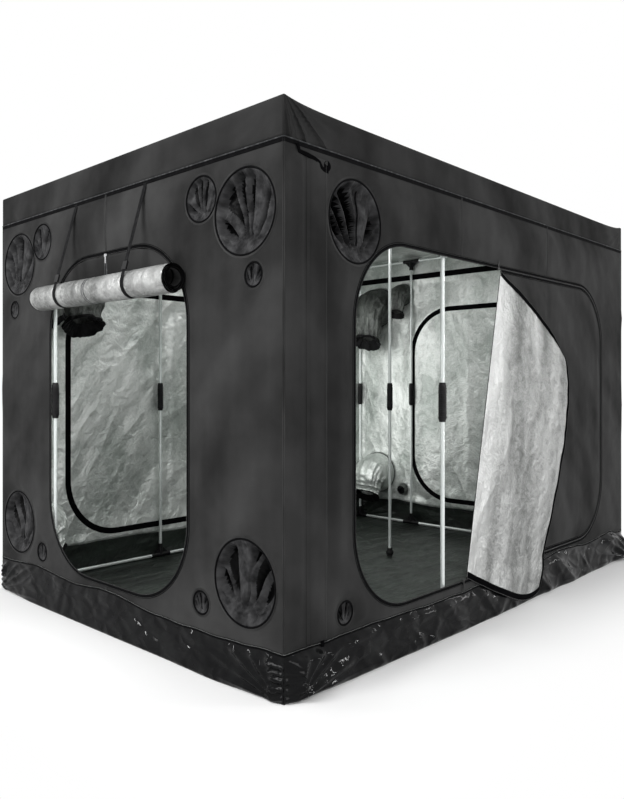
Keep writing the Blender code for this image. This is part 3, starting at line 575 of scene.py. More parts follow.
@dataclass(frozen=True)
class Woven(Finish):
    """Coated woven cloth: fine threads, soft streaks and clouds of wear, and slanting pale patches of painted
    light.
    """

    name: str
    colour: Colour
    second_tone: Colour
    roughness: float = 0.82
    thread: float = 0.0011
    folds: float = 0.004
    gloss: float = 0.03
    fan: bool = False

    def dress(self, s: Shader) -> None:
        """Threads cross as two sines, which darken the colour.

        Half of the paler colour is wear, from clouds and streaks down the cloth; half is painted light, broad
        pale patches from noise along a slant that stand in for soft highlights. The same slant, with softer
        and longer noise, bends the light.
        """
        flat = s.cloth()
        u, v, _ = s.parts(flat)
        turns = TURN / self.thread
        weave = (u * turns).sine().size() * 0.5 + (v * turns).sine().size() * 0.5
        clouds = s.noise(flat, 2.3, 4.0, 0.6)
        streaks = s.noise(s.cloth(9.0, 1.1), 1.0, 3.0, 0.5)
        slant = s.noise(s.cloth(2.0, 0.9, -0.65), 1.0, 2.0, 0.45)
        wear = (clouds * 0.72 + streaks * 0.28).between(0.34, 0.68)
        # The slant's pale patches are painted light, soft highlights on the cloth; the clouds and streaks are
        # wear.
        shade = s.blend(wear * 0.5 + slant.between(0.40, 0.64) * 0.5, self.colour, self.second_tone)
        s.set(Base_Color=s.blend(weave.between(0.0, 1.0) * 0.16, shade, (0.0, 0.0, 0.0, 1.0)))
        s.set(Roughness=clouds * 0.16 + (self.roughness - 0.08), Specular_IOR_Level=self.gloss)
        s.set(Sheen_Weight=self.gloss, Sheen_Roughness=0.5)
        long = s.noise(s.cloth(5.0, 0.9), 1.0, 2.0, 0.45)
        soft = s.noise(flat, 2.6, 3.0, 0.5)
        height = long * 1.2 + soft * 9.0 + slant * 45.0 + weave * 0.03
        s.bump(height + self.corner_fan(s) if self.fan else height, self.folds)

    def corner_fan(self, s: Shader) -> Value:
        """Folds that fan down from the cap's front left corner.

        A sharp crest stands where noise over the angle about the corner crosses its middle. The crests
        grow over the first 0.2 m from the corner and die out by 0.75 m.
        """
        x, _, z = s.parts(s.place())
        along, down = (x + HALF_LONG).most(0.0), 2.42 - z
        reach = (along * along + down * down) ** 0.5
        ridge = (s.noise(s.pack(down.angle(along) * 2.1, reach * 0.6), 1.0, 1.0, 0.5) - 0.5).size()
        return ridge * (1 - reach.between(0.12, 0.75)) * reach.between(0.0, 0.2) * -60.0


@dataclass(frozen=True)
class Vinyl(Finish):
    """Glossy black coated sheet with small sharp creases."""

    name: str = "glossy vinyl"

    def dress(self, s: Shader) -> None:
        """Creases from the edges of stretched cells and from slanting noise; dust dulls it in patches."""
        edge = s.cells(s.cloth(1.0, 1.9), 7.0)
        crease = edge.between(0.0, 0.30) * 0.20 + s.noise(s.cloth(4.0, 1.6, 0.7), 1.0, 2.0, 0.4) * 1.6
        dust = s.noise(s.cloth(), 5.0, 5.0, 0.65)
        colour = s.blend(dust.between(0.45, 0.8), linear(15, 15, 16), linear(30, 31, 31))
        s.set(Base_Color=colour, Roughness=dust * 0.08 + 0.02, Specular_IOR_Level=0.065)
        s.bump(crease, 0.014)


@dataclass(frozen=True)
class Silver(Finish):
    """Crinkled silver film on cloth: small random facets that catch the light."""

    name: str = "silver film"
    tint: Colour = linear(236, 239, 236)
    second_tone: Colour = linear(176, 183, 178)
    size: float = 1.0
    depth: float = 0.016
    metal: float = 0.6
    folds: tuple[float, float] = (2.6, 1.4)
    crumple: float = 0.85
    fold_highlight_reach: float = 0.0

    def dress(self, s: Shader) -> None:
        """Sharp ridges stand where noise crosses its middle, on places that another noise pushes about.

        Broad slanting ridges and long folds come from stretched noise. The colour is painted lighter on the
        folds, as light, and darker where the ridges sink, as shade; the fine grain lightens it a little too.
        `fold_highlight_reach` is how far in from the piece's first edge a pale band is painted beside the
        fold, as its highlight.
        """
        flat = s.cloth()
        bent = s.node("ShaderNodeTexNoise", {}, {"Vector": flat, "Scale": 6.0 / self.size, "Detail": 2.0})
        much = {0: bent.outputs["Color"], "Scale": 0.09 * self.size}
        push = s.node("ShaderNodeVectorMath", {"operation": "SCALE"}, much)
        moved = s.node("ShaderNodeVectorMath", {"operation": "ADD"}, {0: flat, 1: push.outputs[0]}).outputs[0]
        broad = (s.noise(s.cloth(2.6, 0.8, 0.6), 1.0, 2.0, 0.5) - 0.5).size()
        ridge = (s.noise(moved, 9.0 / self.size, 3.0, 0.6) - 0.5).size() * self.crumple
        fine = s.noise(moved, 70.0 / self.size, 3.0, 0.7)
        folds = s.noise(s.cloth(*self.folds), 1.0, 3.0, 0.5)
        crinkle = folds * 2.4 - broad * 4.5 - ridge * 1.3 + fine * 0.12
        # Painted light and shade: the colour is lighter on the folds and darker in the sunken ridges; the
        # fine grain is the film's own.
        light = (fine * 0.3 + folds * 0.7 - ridge * 0.5).between(0.30, 0.62)
        shade = s.blend(light, self.second_tone, self.tint)
        # A pale band painted beside the fold line, as the highlight where the cloth turns.
        if self.fold_highlight_reach:
            edge = 1 - (s.parts(flat)[0] + folds * 0.12).between(self.fold_highlight_reach, self.fold_highlight_reach + 0.16)
            shade = s.blend(edge * 0.7, shade, linear(206, 207, 206))
        s.set(Base_Color=shade, Metallic=self.metal, Roughness=fine * 0.25 + 0.30)
        s.bump(crinkle, self.depth)


@dataclass(frozen=True)
class Nylon(Finish):
    """Thin shiny black cloth of the port socks."""

    name: str = "thin black nylon"
    colour: Colour = linear(9, 9, 10)
    second_tone: Colour = linear(30, 30, 31)

    def dress(self, s: Shader) -> None:
        """Crumples of noise and cell edges under a soft shine."""
        flat = s.cloth()
        rough = s.noise(flat, 38.0, 4.0, 0.6)
        edge = s.cells(s.cloth(1.0, 0.6), 26.0).between(0.0, 0.25)
        tone = s.noise(flat, 14.0, 3.0, 0.6).between(0.3, 0.75)
        s.set(Base_Color=s.blend(tone, self.colour, self.second_tone), Roughness=rough * 0.2 + 0.26)
        s.set(Specular_IOR_Level=0.05)
        s.bump(rough * 0.6 + edge * 0.4, 0.004)


@dataclass(frozen=True)
class Ribbed(Finish):
    """Binding tape and webbing: ribs across a narrow strip, with a stitched line near each edge."""

    name: str = "black tape"
    colour: Colour = linear(7, 7, 8)
    second_tone: Colour = linear(16, 16, 17)
    rib: float = 0.0016
    roughness: float = 0.72

    def dress(self, s: Shader) -> None:
        """Ribs are a sine along the strip, crossed by a finer one."""
        u, v, _ = s.parts(s.cloth())
        turns = TURN / self.rib
        ribs = (u * turns).sine().size() * 0.6 + ((u + v) * (turns * 1.4)).sine().size() * 0.4
        # Random worn patches take the second tone.
        second_tone = s.noise(s.cloth(), 40.0, 3.0, 0.6).between(0.4, 0.8)
        s.set(Base_Color=s.blend(second_tone, self.colour, self.second_tone), Roughness=self.roughness)
        s.set(Specular_IOR_Level=0.03)
        s.bump(ribs, 0.0006, 0.6)


@dataclass(frozen=True)
class Coil(Finish):
    """The teeth of a coil zip, as cross ridges along it."""

    name: str = "zip coil"
    pitch: float = 0.0026

    def dress(self, s: Shader) -> None:
        """Each tooth is one turn of a sine along the coil."""
        u, _, _ = s.parts(s.cloth())
        tooth = (u * (TURN / self.pitch)).sine()
        # The colour is painted lighter on each tooth's crest, as light, and darker between the teeth, as
        # shade.
        s.set(Base_Color=s.blend(tooth.between(-0.6, 0.6), linear(8, 8, 8), linear(34, 34, 34)))
        s.set(Roughness=0.38)
        s.bump(tooth, 0.0008, 0.7)


@dataclass(frozen=True)
class Stitch(Finish):
    """A row of thread stitches on cloth: light dashes with dark gaps."""

    name: str = "stitching"
    thread: Colour = linear(48, 49, 48)
    ground: Colour = linear(24, 24, 24)
    pitch: float = 0.005

    def dress(self, s: Shader) -> None:
        """A dash where a sine along the row is high; the thread is twisted."""
        u, v, _ = s.parts(s.cloth())
        dash = (u * (TURN / self.pitch)).sine().between(-0.75, -0.35)
        twist = ((u + v * 2.0) * (TURN / 0.0011)).sine().size()
        s.set(Base_Color=s.blend(dash, self.ground, self.thread), Roughness=0.6)
        s.bump(dash * 0.8 + twist * 0.2, 0.0008)


@dataclass(frozen=True)
class Painted(Finish):
    """Smooth white coating on steel tube, with faint scuffs."""

    name: str = "white coated steel"

    def dress(self, s: Shader) -> None:
        """Scuffs along the tube dull the gloss a little."""
        scuff = s.noise(s.place((60.0, 60.0, 9.0)), 1.0, 4.0, 0.7)
        mark = scuff.between(0.60, 0.78)
        s.set(Base_Color=s.blend(mark, linear(222, 228, 226), linear(176, 183, 181)))
        s.set(Roughness=mark * 0.25 + 0.18, Metallic=0.3)
        s.bump(scuff, 0.0006, 0.3)


@dataclass(frozen=True)
class Moulded(Finish):
    """Moulded black plastic or rubber with a fine grain."""

    name: str = "moulded black plastic"
    colour: Colour = linear(12, 12, 13)
    roughness: float = 0.42
    grain: float = 900.0

    def dress(self, s: Shader) -> None:
        """Spark-eroded grain from fine noise, with a faint bloom."""
        spot = s.place()
        grain = s.noise(spot, self.grain, 2.0, 0.6)
        bloom = s.noise(spot, 22.0, 3.0, 0.6).between(0.4, 0.8)
        s.set(Base_Color=s.blend(bloom, self.colour, linear(28, 28, 29)))
        s.set(Roughness=grain * 0.12 + self.roughness, Specular_IOR_Level=0.25)
        s.bump(grain, 0.0004, 0.5)


@dataclass(frozen=True)
class Cast(Finish):
    """Cast metal of the zip sliders, a little tarnished."""

    name: str = "cast slider metal"

    def dress(self, s: Shader) -> None:
        """Tarnish gathers in clouds."""
        cloud = s.noise(s.place(), 260.0, 4.0, 0.65)
        s.set(Base_Color=s.blend(cloud.between(0.35, 0.7), linear(196, 197, 198), linear(132, 132, 134)))
        s.set(Metallic=1.0, Roughness=cloud * 0.3 + 0.16)
        s.bump(cloud, 0.0005, 0.4)


CHARCOAL = Woven("charcoal cloth", linear(32, 32, 32), linear(62, 62, 62))
# The cap's cloth is the walls' charcoal painted a little darker, as shade.
CAP_CLOTH = Woven("charcoal cloth of the cap", linear(29, 29, 29), linear(56, 56, 56), fan=True)
DARK_CLOTH = Woven("dark binding cloth", linear(8, 8, 9), linear(18, 18, 19), 0.78, 0.0009, 0.002, 0.0)
SILVER = Silver()
# The same film as SILVER inside the tent, painted much darker for the flap and the roll out under the lamps;
# the difference between the two copies is painted light and shade.
FLAP_SILVER = Silver(
    "silver film of the flap", linear(168, 169, 168), linear(88, 90, 88), 0.8, 0.024, 0.6, (4.5, 0.9), 0.7
)
# The flap's copy with a pale band painted beside the fold line, as its highlight.
FOLD_SILVER = replace(FLAP_SILVER, name="silver film by the fold", fold_highlight_reach=0.13)
VINYL = Vinyl()
FLOOR_SHEET = Silver("floor sheet", linear(50, 57, 52), linear(22, 26, 23), 1.8, 0.02, 0.3, (1.5, 7.0))
SOCK = Silver("dark sock cloth", linear(96, 100, 96), linear(34, 36, 34), 0.5, 0.016, 0.3, (5.0, 11.0))
NYLON = Nylon()
# The port face's nylon in two copies: PLEATS painted lighter as lit pleats, SHADED painted near black as
# shade deep between them.
PLEATS = Nylon("nylon pleats painted lighter as lit", linear(24, 24, 25), linear(66, 66, 67))
SHADED = Nylon("shaded nylon between pleats", linear(3, 3, 3), linear(9, 9, 10))
TAPE = Ribbed()
WEBBING = Ribbed("black webbing", linear(18, 18, 19), linear(36, 36, 37), 0.0024, 0.62)
PIPING = Ribbed("piping cord", linear(54, 55, 56), linear(104, 105, 106), 0.0014, 0.5)
COIL = Coil()
STITCH = Stitch()
LIGHT_STITCH = Stitch("light stitching", linear(150, 152, 150), linear(14, 14, 14))
STEEL = Painted()
PLASTIC = Moulded()
RUBBER = Moulded("black rubber", linear(20, 20, 20), 0.62, 500.0)
METAL = Cast()
DARK_METAL = Moulded("blackened slider metal", linear(14, 14, 14), 0.3, 300.0)


def unrolled(points: Array) -> Array:
    """Lay a grid out flat: the mean lengths along its rows and along its columns, summed.

    Args:
        points: grid of points (rows, columns, 3).

    Returns:
        Lengths in metres (rows, columns, 2), rows first.
    """
    rows = np.linalg.norm(np.diff(points, axis=0), axis=-1).mean(axis=1)
    cols = np.linalg.norm(np.diff(points, axis=1), axis=-1).mean(axis=0)
    u = np.concatenate([[0.0], np.cumsum(rows)])
    v = np.concatenate([[0.0], np.cumsum(cols)])
    return pair(u[:, None], v[None, :])


@dataclass
class Maker:
    """Collects grids of points and turns them into one piece of the scene."""

    name: str
    points: list[Array] = field(default_factory=list)
    flats: list[Array] = field(default_factory=list)
    faces: list[Array] = field(default_factory=list)
    slots: list[Array] = field(default_factory=list)
    count: int = 0

    def grid(
        self,
        points: Array,
        flat: Array | None = None,
        slot: Any = 0,
        keep: Array | None = None,
        flip: bool = False,
    ) -> None:
        """Add a grid. Its face looks at whoever sees the rows run right and the columns run up.

        Args:
            points: grid of points (rows, columns, 3).
            flat: place on the cloth in metres; unrolled from the points if not given.
            slot: the finish's number, or one number per cell.
            keep: which cells to keep; all if not given.
            flip: whether the face looks the other way.
        """
        rows, cols = points.shape[:2]
        index = np.arange(rows * cols).reshape(rows, cols) + self.count
        quads = np.stack([index[:-1, :-1], index[1:, :-1], index[1:, 1:], index[:-1, 1:]], axis=-1)
        slots = np.broadcast_to(np.asarray(slot), (rows - 1, cols - 1))
        mask = np.ones((rows - 1, cols - 1), bool) if keep is None else keep
        self.faces.append((quads[..., ::-1] if flip else quads)[mask])
        self.slots.append(slots[mask])
        self.points.append(points.reshape(-1, 3))
        self.flats.append((unrolled(points) if flat is None else flat).reshape(-1, 2))
        self.count += rows * cols

    def trim(
        self, side: Side, path: Array, profile: Sequence[tuple[float, float]], slot: int = 0, **more: Any
    ) -> None:
        """Carry a profile along a path on a wall: each point plus its right-hand normal times an offset.

        Args:
            side: the wall.
            path: points across and up (n, 2).
            profile: offsets to the right of the path and distances out, from right to left.
            slot: the finish's number.
            more: inside, for a strip that looks into the tent; rise, the wall's relief as a function.
        """
        closed = np.allclose(path[0], path[-1])
        padded = np.concatenate([path[-2:-1], path, path[1:2]]) if closed else path
        way = np.gradient(padded, axis=0)
        way = way[1:-1] if closed else way
        way = way / np.maximum(np.linalg.norm(way, axis=1, keepdims=True), 1e-9)
        normal = np.stack([way[:, 1], -way[:, 0]], axis=1)
        shape = np.array(profile)
        spot = path[:, None, :] + normal[:, None, :] * shape[None, :, :1]
        rise = more["rise"](spot[..., 0], spot[..., 1]) if "rise" in more else 0.0
        points = side.point(spot[..., 0], shape[None, :, 1] + rise, spot[..., 1])
        self.grid(points, slot=slot, flip=side.turned != more.get("inside", False))

    def finish(
        self, finishes: Sequence[Finish], body: str = TENT, replaces: Sequence[str] = (), **more: Any
    ) -> bpy.types.Object:
        """Make the piece: weld its grids, give it its finishes and thickness, and tie it to its body.

        Args:
            finishes: its finishes, in the order of the slot numbers.
            body: the body it moves with; empty for a piece that is tied to no body.
            replaces: CAD nodes that it stands for.
            more: thick, the cloth's thickness; offset, which way it grows; lining, how many slots on the
                inner face's finish is; angle, past which an edge is sharp; record, not used.

        Returns:
            The object.
        """
        faces = np.concatenate(self.faces)
        used, faces = np.unique(faces, return_inverse=True)
        faces = faces.reshape(-1, 4)
        points, flats = np.concatenate(self.points)[used], np.concatenate(self.flats)[used]
        mesh = bpy.data.meshes.new(self.name)
        mesh.vertices.add(len(points))
        mesh.vertices.foreach_set("co", points.astype(np.float32).ravel())
        mesh.loops.add(faces.size)
        mesh.loops.foreach_set("vertex_index", faces.astype(np.int32).ravel())
        mesh.polygons.add(len(faces))
        mesh.polygons.foreach_set("loop_start", np.arange(0, faces.size, 4, dtype=np.int32))
        mesh.polygons.foreach_set("material_index", np.concatenate(self.slots).astype(np.int32))
        layer = mesh.uv_layers.new(name="Cloth")
        layer.uv.foreach_set("vector", flats[faces.ravel()].astype(np.float32).ravel())
        mesh.update(calc_edges=True)
        work = bmesh.new()
        work.from_mesh(mesh)
        bmesh.ops.remove_doubles(work, verts=work.verts, dist=0.00002)
        work.to_mesh(mesh)
        work.free()
        mesh.polygons.foreach_set("use_smooth", np.ones(len(mesh.polygons), bool))
        mesh.set_sharp_from_angle(angle=math.radians(more.get("angle", 42.0)))
        thing = bpy.data.objects.new(self.name, mesh)
        bpy.context.scene.collection.objects.link(thing)
        for finish in finishes:
            mesh.materials.append(finish.get())
        if more.get("thick"):
            wall = thing.modifiers.new("Thickness", "SOLIDIFY")
            wall.thickness, wall.offset = more["thick"], more.get("offset", -1.0)
            wall.material_offset = more.get("lining", 0)
        if body:
            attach(thing, body)
        if replaces:
            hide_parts(*replaces)
        "record" in more
        log.info("%s: %d faces", self.name, len(mesh.polygons))
        return thing


def half_round(wide: float, high: float, base: float = 0.0, count: int = 6) -> list[tuple[float, float]]:
    """A half ellipse over a base: cosine and sine over half a turn, times half its width and its height.

    Args:
        wide: half its width.
        high: its height.
        base: the base's height.
        count: how many sides it has.

    Returns:
        Offsets and heights, from right to left.
    """
    turns = np.linspace(0, math.pi, count + 1)
    return [(float(wide * math.cos(t)), float(base + high * math.sin(t))) for t in turns]


def line(a: tuple[float, float], b: tuple[float, float], step: float = 0.02) -> Array:
    """Points along a straight line on a wall, at even shares of the way from a to b.

    Args:
        a: its start, across and up.
        b: its end.
        step: rough spacing of the points.

    Returns:
        Points (n, 2).
    """
    count = max(int(math.dist(a, b) / step), 2)
    t = np.linspace(0, 1, count + 1)[:, None]
    return np.array(a) * (1 - t) + np.array(b) * t


def cover(height: Array, cells: int) -> Array:
    """Smooth cover over a grid of heights: the highest within some cells, then the mean of that over as many.

    Args:
        height: the heights.
        cells: how far to look.

    Returns:
        Heights that are nowhere below the given ones.
    """
    size = (2 * cells + 1, 2 * cells + 1)
    for job in (np.max, np.mean):
        padded = np.pad(height, cells, mode="edge")
        height = job(np.lib.stride_tricks.sliding_window_view(padded, size), axis=(-1, -2))
    return height


def seam_wave(side: Side, across: Array) -> Array:
    """Height of the wavy seam between wall and tub: 0.192 m plus smooth noise that dies at the corners.

    Args:
        side: the wall.
        across: places across it.

    Returns:
        Heights.
    """
    seed = 40 + side.number
    wave = lattice(across * 2.6 + 20, across * 0 + 3.5, seed) - 0.5
    fine = lattice(across * 9.0 + 20, across * 0 + 7.5, seed + 9) - 0.5
    return 0.192 + (0.042 * wave + 0.012 * fine) * ease(side.reach - np.abs(across), 0.0, 0.25)


def corner_pull(along: Array, down: Array, seed: int) -> Array:
    """Folds that fan out from a corner: narrow ridges in angle, strongest a hand's width from it.

    Args:
        along: distance from the corner along the cloth.
        down: distance below the corner.
        seed: picks the folds.

    Returns:
        Heights from 0 to 1.
    """
    reach = np.hypot(along, down)
    angle = np.arctan2(down, along + 1e-6)
    total = np.zeros_like(reach)
    rng = np.random.default_rng(seed)
    for turn in (0.12, 0.32, 0.55, 0.85, 1.2):
        middle, wide = turn + rng.uniform(-0.05, 0.05), rng.uniform(0.045, 0.085)
        total = total + rng.uniform(0.5, 1.0) * np.exp(-(((angle - middle) / wide) ** 2))
    return total * ease(reach, 0.01, 0.10) * (1 - ease(reach, 0.18, 0.75))


@dataclass
class Wall:
    """One wall: its cloth with openings, its ports, seams and the zip round its door."""

    side: Side
    door: RoundedBox
    ports: tuple[Port, ...]
    seams: tuple[float, ...]
    flat_strip: tuple[float, float] | None = None
    cell: float = 0.017
    tape: float = 0.021
    teeth: float = 0.0125
    sewn_from: float = 0.035
    hem_from: float = 0.047

    def relief(self, across: Array, high: Array) -> Array:
        """Folds of the hung cloth: upright and slanting creases, raised to a power so that they stay narrow.

        A soft swell and finer folds by both seams are added, and all of it dies where the cloth is held.
        On the back wall the folds' height also stays under 8 % of the way to the door's hinge, which
        the door needs to swing clear: the height times that room over their sum.

        Args:
            across: across the wall.
            high: up the wall.

        Returns:
            Distance out from the flat wall.
        """
        seed = 100 + 17 * self.side.number
        long = creases(across * 2.4 + 20, high * 0.42 + 5, seed, 3) ** 3
        slant = creases(across * 1.3 + high * 1.1 + 20, high * 0.8 - across * 0.5 + 20, seed + 5, 3) ** 4
        soft = lattice(across * 3.1 + 20, high * 1.7, seed + 9)
        fine = creases(across * 9.0 + 20, high * 0.9, seed + 13, 2) ** 2
        near = np.exp(-np.maximum(high - 0.22, 0) / 0.14) + np.exp(-np.maximum(WALL_TOP - high, 0) / 0.10)
        rise = 0.0095 * long + 0.0150 * slant + 0.0120 * soft + 0.0050 * fine * near
        rise = rise * self.calm(across, high)
        if self.side is not Side.BACK:
            return rise
        room = 0.08 * np.abs(across - self.door.right)
        return rise * room / (rise + room + 0.00001)

    def calm(self, across: Array, high: Array) -> Array:
        """How free the cloth is to fold: 0 on the zip, the ports and the edges, 1 well away, 0.35 on a seam.

        Args:
            across: across the wall.
            high: up the wall.

        Returns:
            Shares from 0 to 1.
        """
        free = ease(np.abs(self.door.distance(across, high)), 0.022, 0.13)
        for port in self.ports:
            away = np.hypot(across - port.across, high - port.high) - port.radius
            free = free * ease(np.maximum(away, 0), 0.010, 0.07)
        for seam in self.seams:
            free = free * (0.35 + 0.65 * ease(np.abs(across - seam), 0.006, 0.05))
        if self.flat_strip:
            middle, half = sum(self.flat_strip) / 2, (self.flat_strip[1] - self.flat_strip[0]) / 2
            free = free * ease(np.abs(across - middle) - half, 0.0, 0.05)
        free = free * ease(high - 0.205, 0.0, 0.05) * ease(WALL_TOP - high, 0.03, 0.09)
        return free * ease(self.side.reach - np.abs(across), 0.010, 0.05)

    def opening(self, across: Array, high: Array) -> Array:
        """Distance to the nearest opening, negative inside one."""
        gaps = [self.door.distance(across, high)]
        gaps += [np.hypot(across - p.across, high - p.high) - p.radius for p in self.ports]
        return np.minimum.reduce(gaps)

    def cut_grid(self) -> tuple[Array, Array, Array]:
        """Places of the wall's grid, moved onto the openings' edges, and the cells to keep.

        A cell is kept where its middle is outside every opening. A point between kept and dropped
        cells moves down the distance field's slope onto the edge.

        Returns:
            Across, up, and the cells to keep.
        """
        share = spread(0, WALL_TOP - TUB_TOP, self.cell) / (WALL_TOP - TUB_TOP)
        across = np.repeat(self.side.places(self.cell)[:, None], len(share), axis=1)
        low = seam_wave(self.side, across)
        high = low + (WALL_TOP - low) * share[None, :]
        keep = self.opening(cell_middles(across), cell_middles(high)) > 0
        near_keep, near_drop = np.zeros(across.shape, bool), np.zeros(across.shape, bool)
        for i in (slice(None, -1), slice(1, None)):
            for j in (slice(None, -1), slice(1, None)):
                near_keep[i, j] |= keep
                near_drop[i, j] |= ~keep
        rim = near_keep & near_drop
        for _ in range(3):
            x, z, step = across[rim], high[rim], 0.0004
            away = self.opening(x, z)
            slope_x = (self.opening(x + step, z) - self.opening(x - step, z)) / (2 * step)
            slope_z = (self.opening(x, z + step) - self.opening(x, z - step)) / (2 * step)
            size = np.maximum(slope_x**2 + slope_z**2, 0.25)
            across[rim], high[rim] = x - away * slope_x / size, z - away * slope_z / size
        return across, high, keep

    def build_cloth(self) -> None:
        """The wall's cloth, charcoal outside and silver inside."""
        across, high, keep = self.cut_grid()
        maker = Maker(f"{self.side.value}_wall_cloth")
        points = self.side.point(across, self.relief(across, high), high)
        maker.grid(points, flat=pair(across, high), keep=keep, flip=self.side.turned)
        thing = maker.finish((CHARCOAL, SILVER), replaces=[f"wall_{self.side.value}"], **LINED)
        door = self.door
        bite = (4 - math.pi) * door.corner**2
        gone = (door.right - door.left) * (door.top - door.bottom) - bite
        gone += sum(math.pi * port.radius**2 for port in self.ports)
        size = (2 * self.side.reach, WALL_TOP - TUB_TOP)
        size[0] * size[1] - gone

    def build_seams(self) -> None:
        """Felled seams between the wall's panels and at its corners, each with two rows of stitches."""
        maker = Maker(f"{self.side.value}_wall_seams")
        felled = [(0.0075, 0.0), (0.0068, 0.0012), (0.0, 0.0016), (-0.0068, 0.0012), (-0.0075, 0.0)]
        for seam in self.seams:
            low = float(seam_wave(self.side, np.array([seam]))[0])
            spans = [(low, WALL_TOP)]
            if self.door.left < seam < self.door.right:
                spans = [(low, self.door.bottom - 0.022), (self.door.top + 0.022, WALL_TOP)]
            for start, end in spans:
                path = line((seam, start), (seam, end), 0.03)
                maker.trim(self.side, path, felled, rise=self.relief)
                for off in (-0.0045, 0.0045):
                    row = [(off + 0.0009, 0.0013), (off, 0.0021), (off - 0.0009, 0.0013)]
                    maker.trim(self.side, path, row, 1, rise=self.relief)
        edge = self.side.reach - 0.006
        for side in (-1, 1):
            path = line((side * edge, TUB_TOP), (side * edge, WALL_TOP), 0.03)
            maker.trim(self.side, path, half_round(0.0022, 0.0022, -0.0006))
        maker.finish((CHARCOAL, STITCH), record="charcoal_cloth")

    def zip_path(self, sewn: bool = False) -> Array:
        """The zip's line: the door's outline, left open where the back and right doors are sewn on.

        Args:
            sewn: give the part left open instead, with an overlap so that the two runs meet.

        Returns:
            The points of the outline that lie far enough from the sewn edge, or near enough to it.
        """
        path = self.door.path()
        if self.side is Side.BACK:
            away = self.door.right - path[:-1, 0]
        elif self.side is Side.RIGHT:
            away = self.door.top - path[:-1, 1]
        else:
            return path
        return open_run(path, away <= self.hem_from if sewn else away > self.sewn_from)

    def build_zip(self) -> None:
        """The wall's half of the zip round its door, a flat hem where the door is sewn on, tape inside."""
        maker = Maker(f"{self.side.value}_door_zip_frame")
        self.half_zip(maker, self.zip_path(), 1.0)
        if self.side in (Side.BACK, Side.RIGHT):
            hem = [(0.024, 0.0), (0.023, 0.0010), (0.013, 0.0010), (0.012, 0.0)]
            maker.trim(self.side, self.zip_path(sewn=True), hem)
        inner = [(0.0, -0.0016), (0.0, -0.0022), (0.016, -0.0026), (0.018, -0.0016)]
        maker.trim(self.side, self.door.path(), inner, inside=True)
        maker.finish((DARK_CLOTH, TAPE, STITCH, COIL), record="tape")

    def half_zip(self, maker: Maker, path: Array, way: float) -> None:
        """Add one half of a zip, as four profiles along it: binding, tape, stitches and coil.

        Args:
            maker: collects the strips.
            path: the zip's line.
            way: 1 for the half outside the path, -1 for the half inside it.
        """
        wide, tape = self.tape, self.teeth
        strips = [
            ([(wide, 0.0), (wide - 0.0006, 0.0014), (tape, 0.0019), (tape - 0.001, 0.0012)], 0),
            ([(tape, 0.0010), (tape - 0.001, 0.0013), (0.0024, 0.0013), (0.0018, 0.0004)], 1),
            ([(wide - 0.0030, 0.0016), (wide - 0.0038, 0.0026), (wide - 0.0046, 0.0016)], 2),
            ([(0.0030, 0.0008), (0.0024, 0.0024), (0.0012, 0.0030), (0.0003, 0.0022), (0.0002, 0.0006)], 3),
        ]
        for profile, slot in strips:
            shape = profile if way > 0 else [(-a, b) for a, b in reversed(profile)]
            maker.trim(self.side, path, shape, slot)


SHORT_SOCK = (
    (0.02, 0.0, 0, 0.985, 0.985),
    (0.50, 0.0, 0, 0.92, 0.92),
    (0.78, 0.06, 12, 0.74, 0.70),
    (0.84, 0.08, 15, 0.30, 0.28),
)
LONG_SOCK = (
    (0.02, 0.00, 0, 0.985, 0.985),
    (0.52, 0.02, 2, 0.93, 0.92),
    (0.76, 0.14, 20, 0.90, 0.80),
    (0.96, 0.42, 44, 0.84, 0.66),
    (1.04, 0.82, 62, 0.80, 0.54),
    (1.04, 1.22, 66, 0.76, 0.48),
    (1.04, 1.56, 62, 0.66, 0.42),
    (1.06, 1.82, 56, 0.74, 0.50),
    (1.08, 1.90, 52, 0.78, 0.54),
    (1.07, 1.84, 52, 0.66, 0.44),
    (1.04, 1.60, 52, 0.40, 0.24),
)


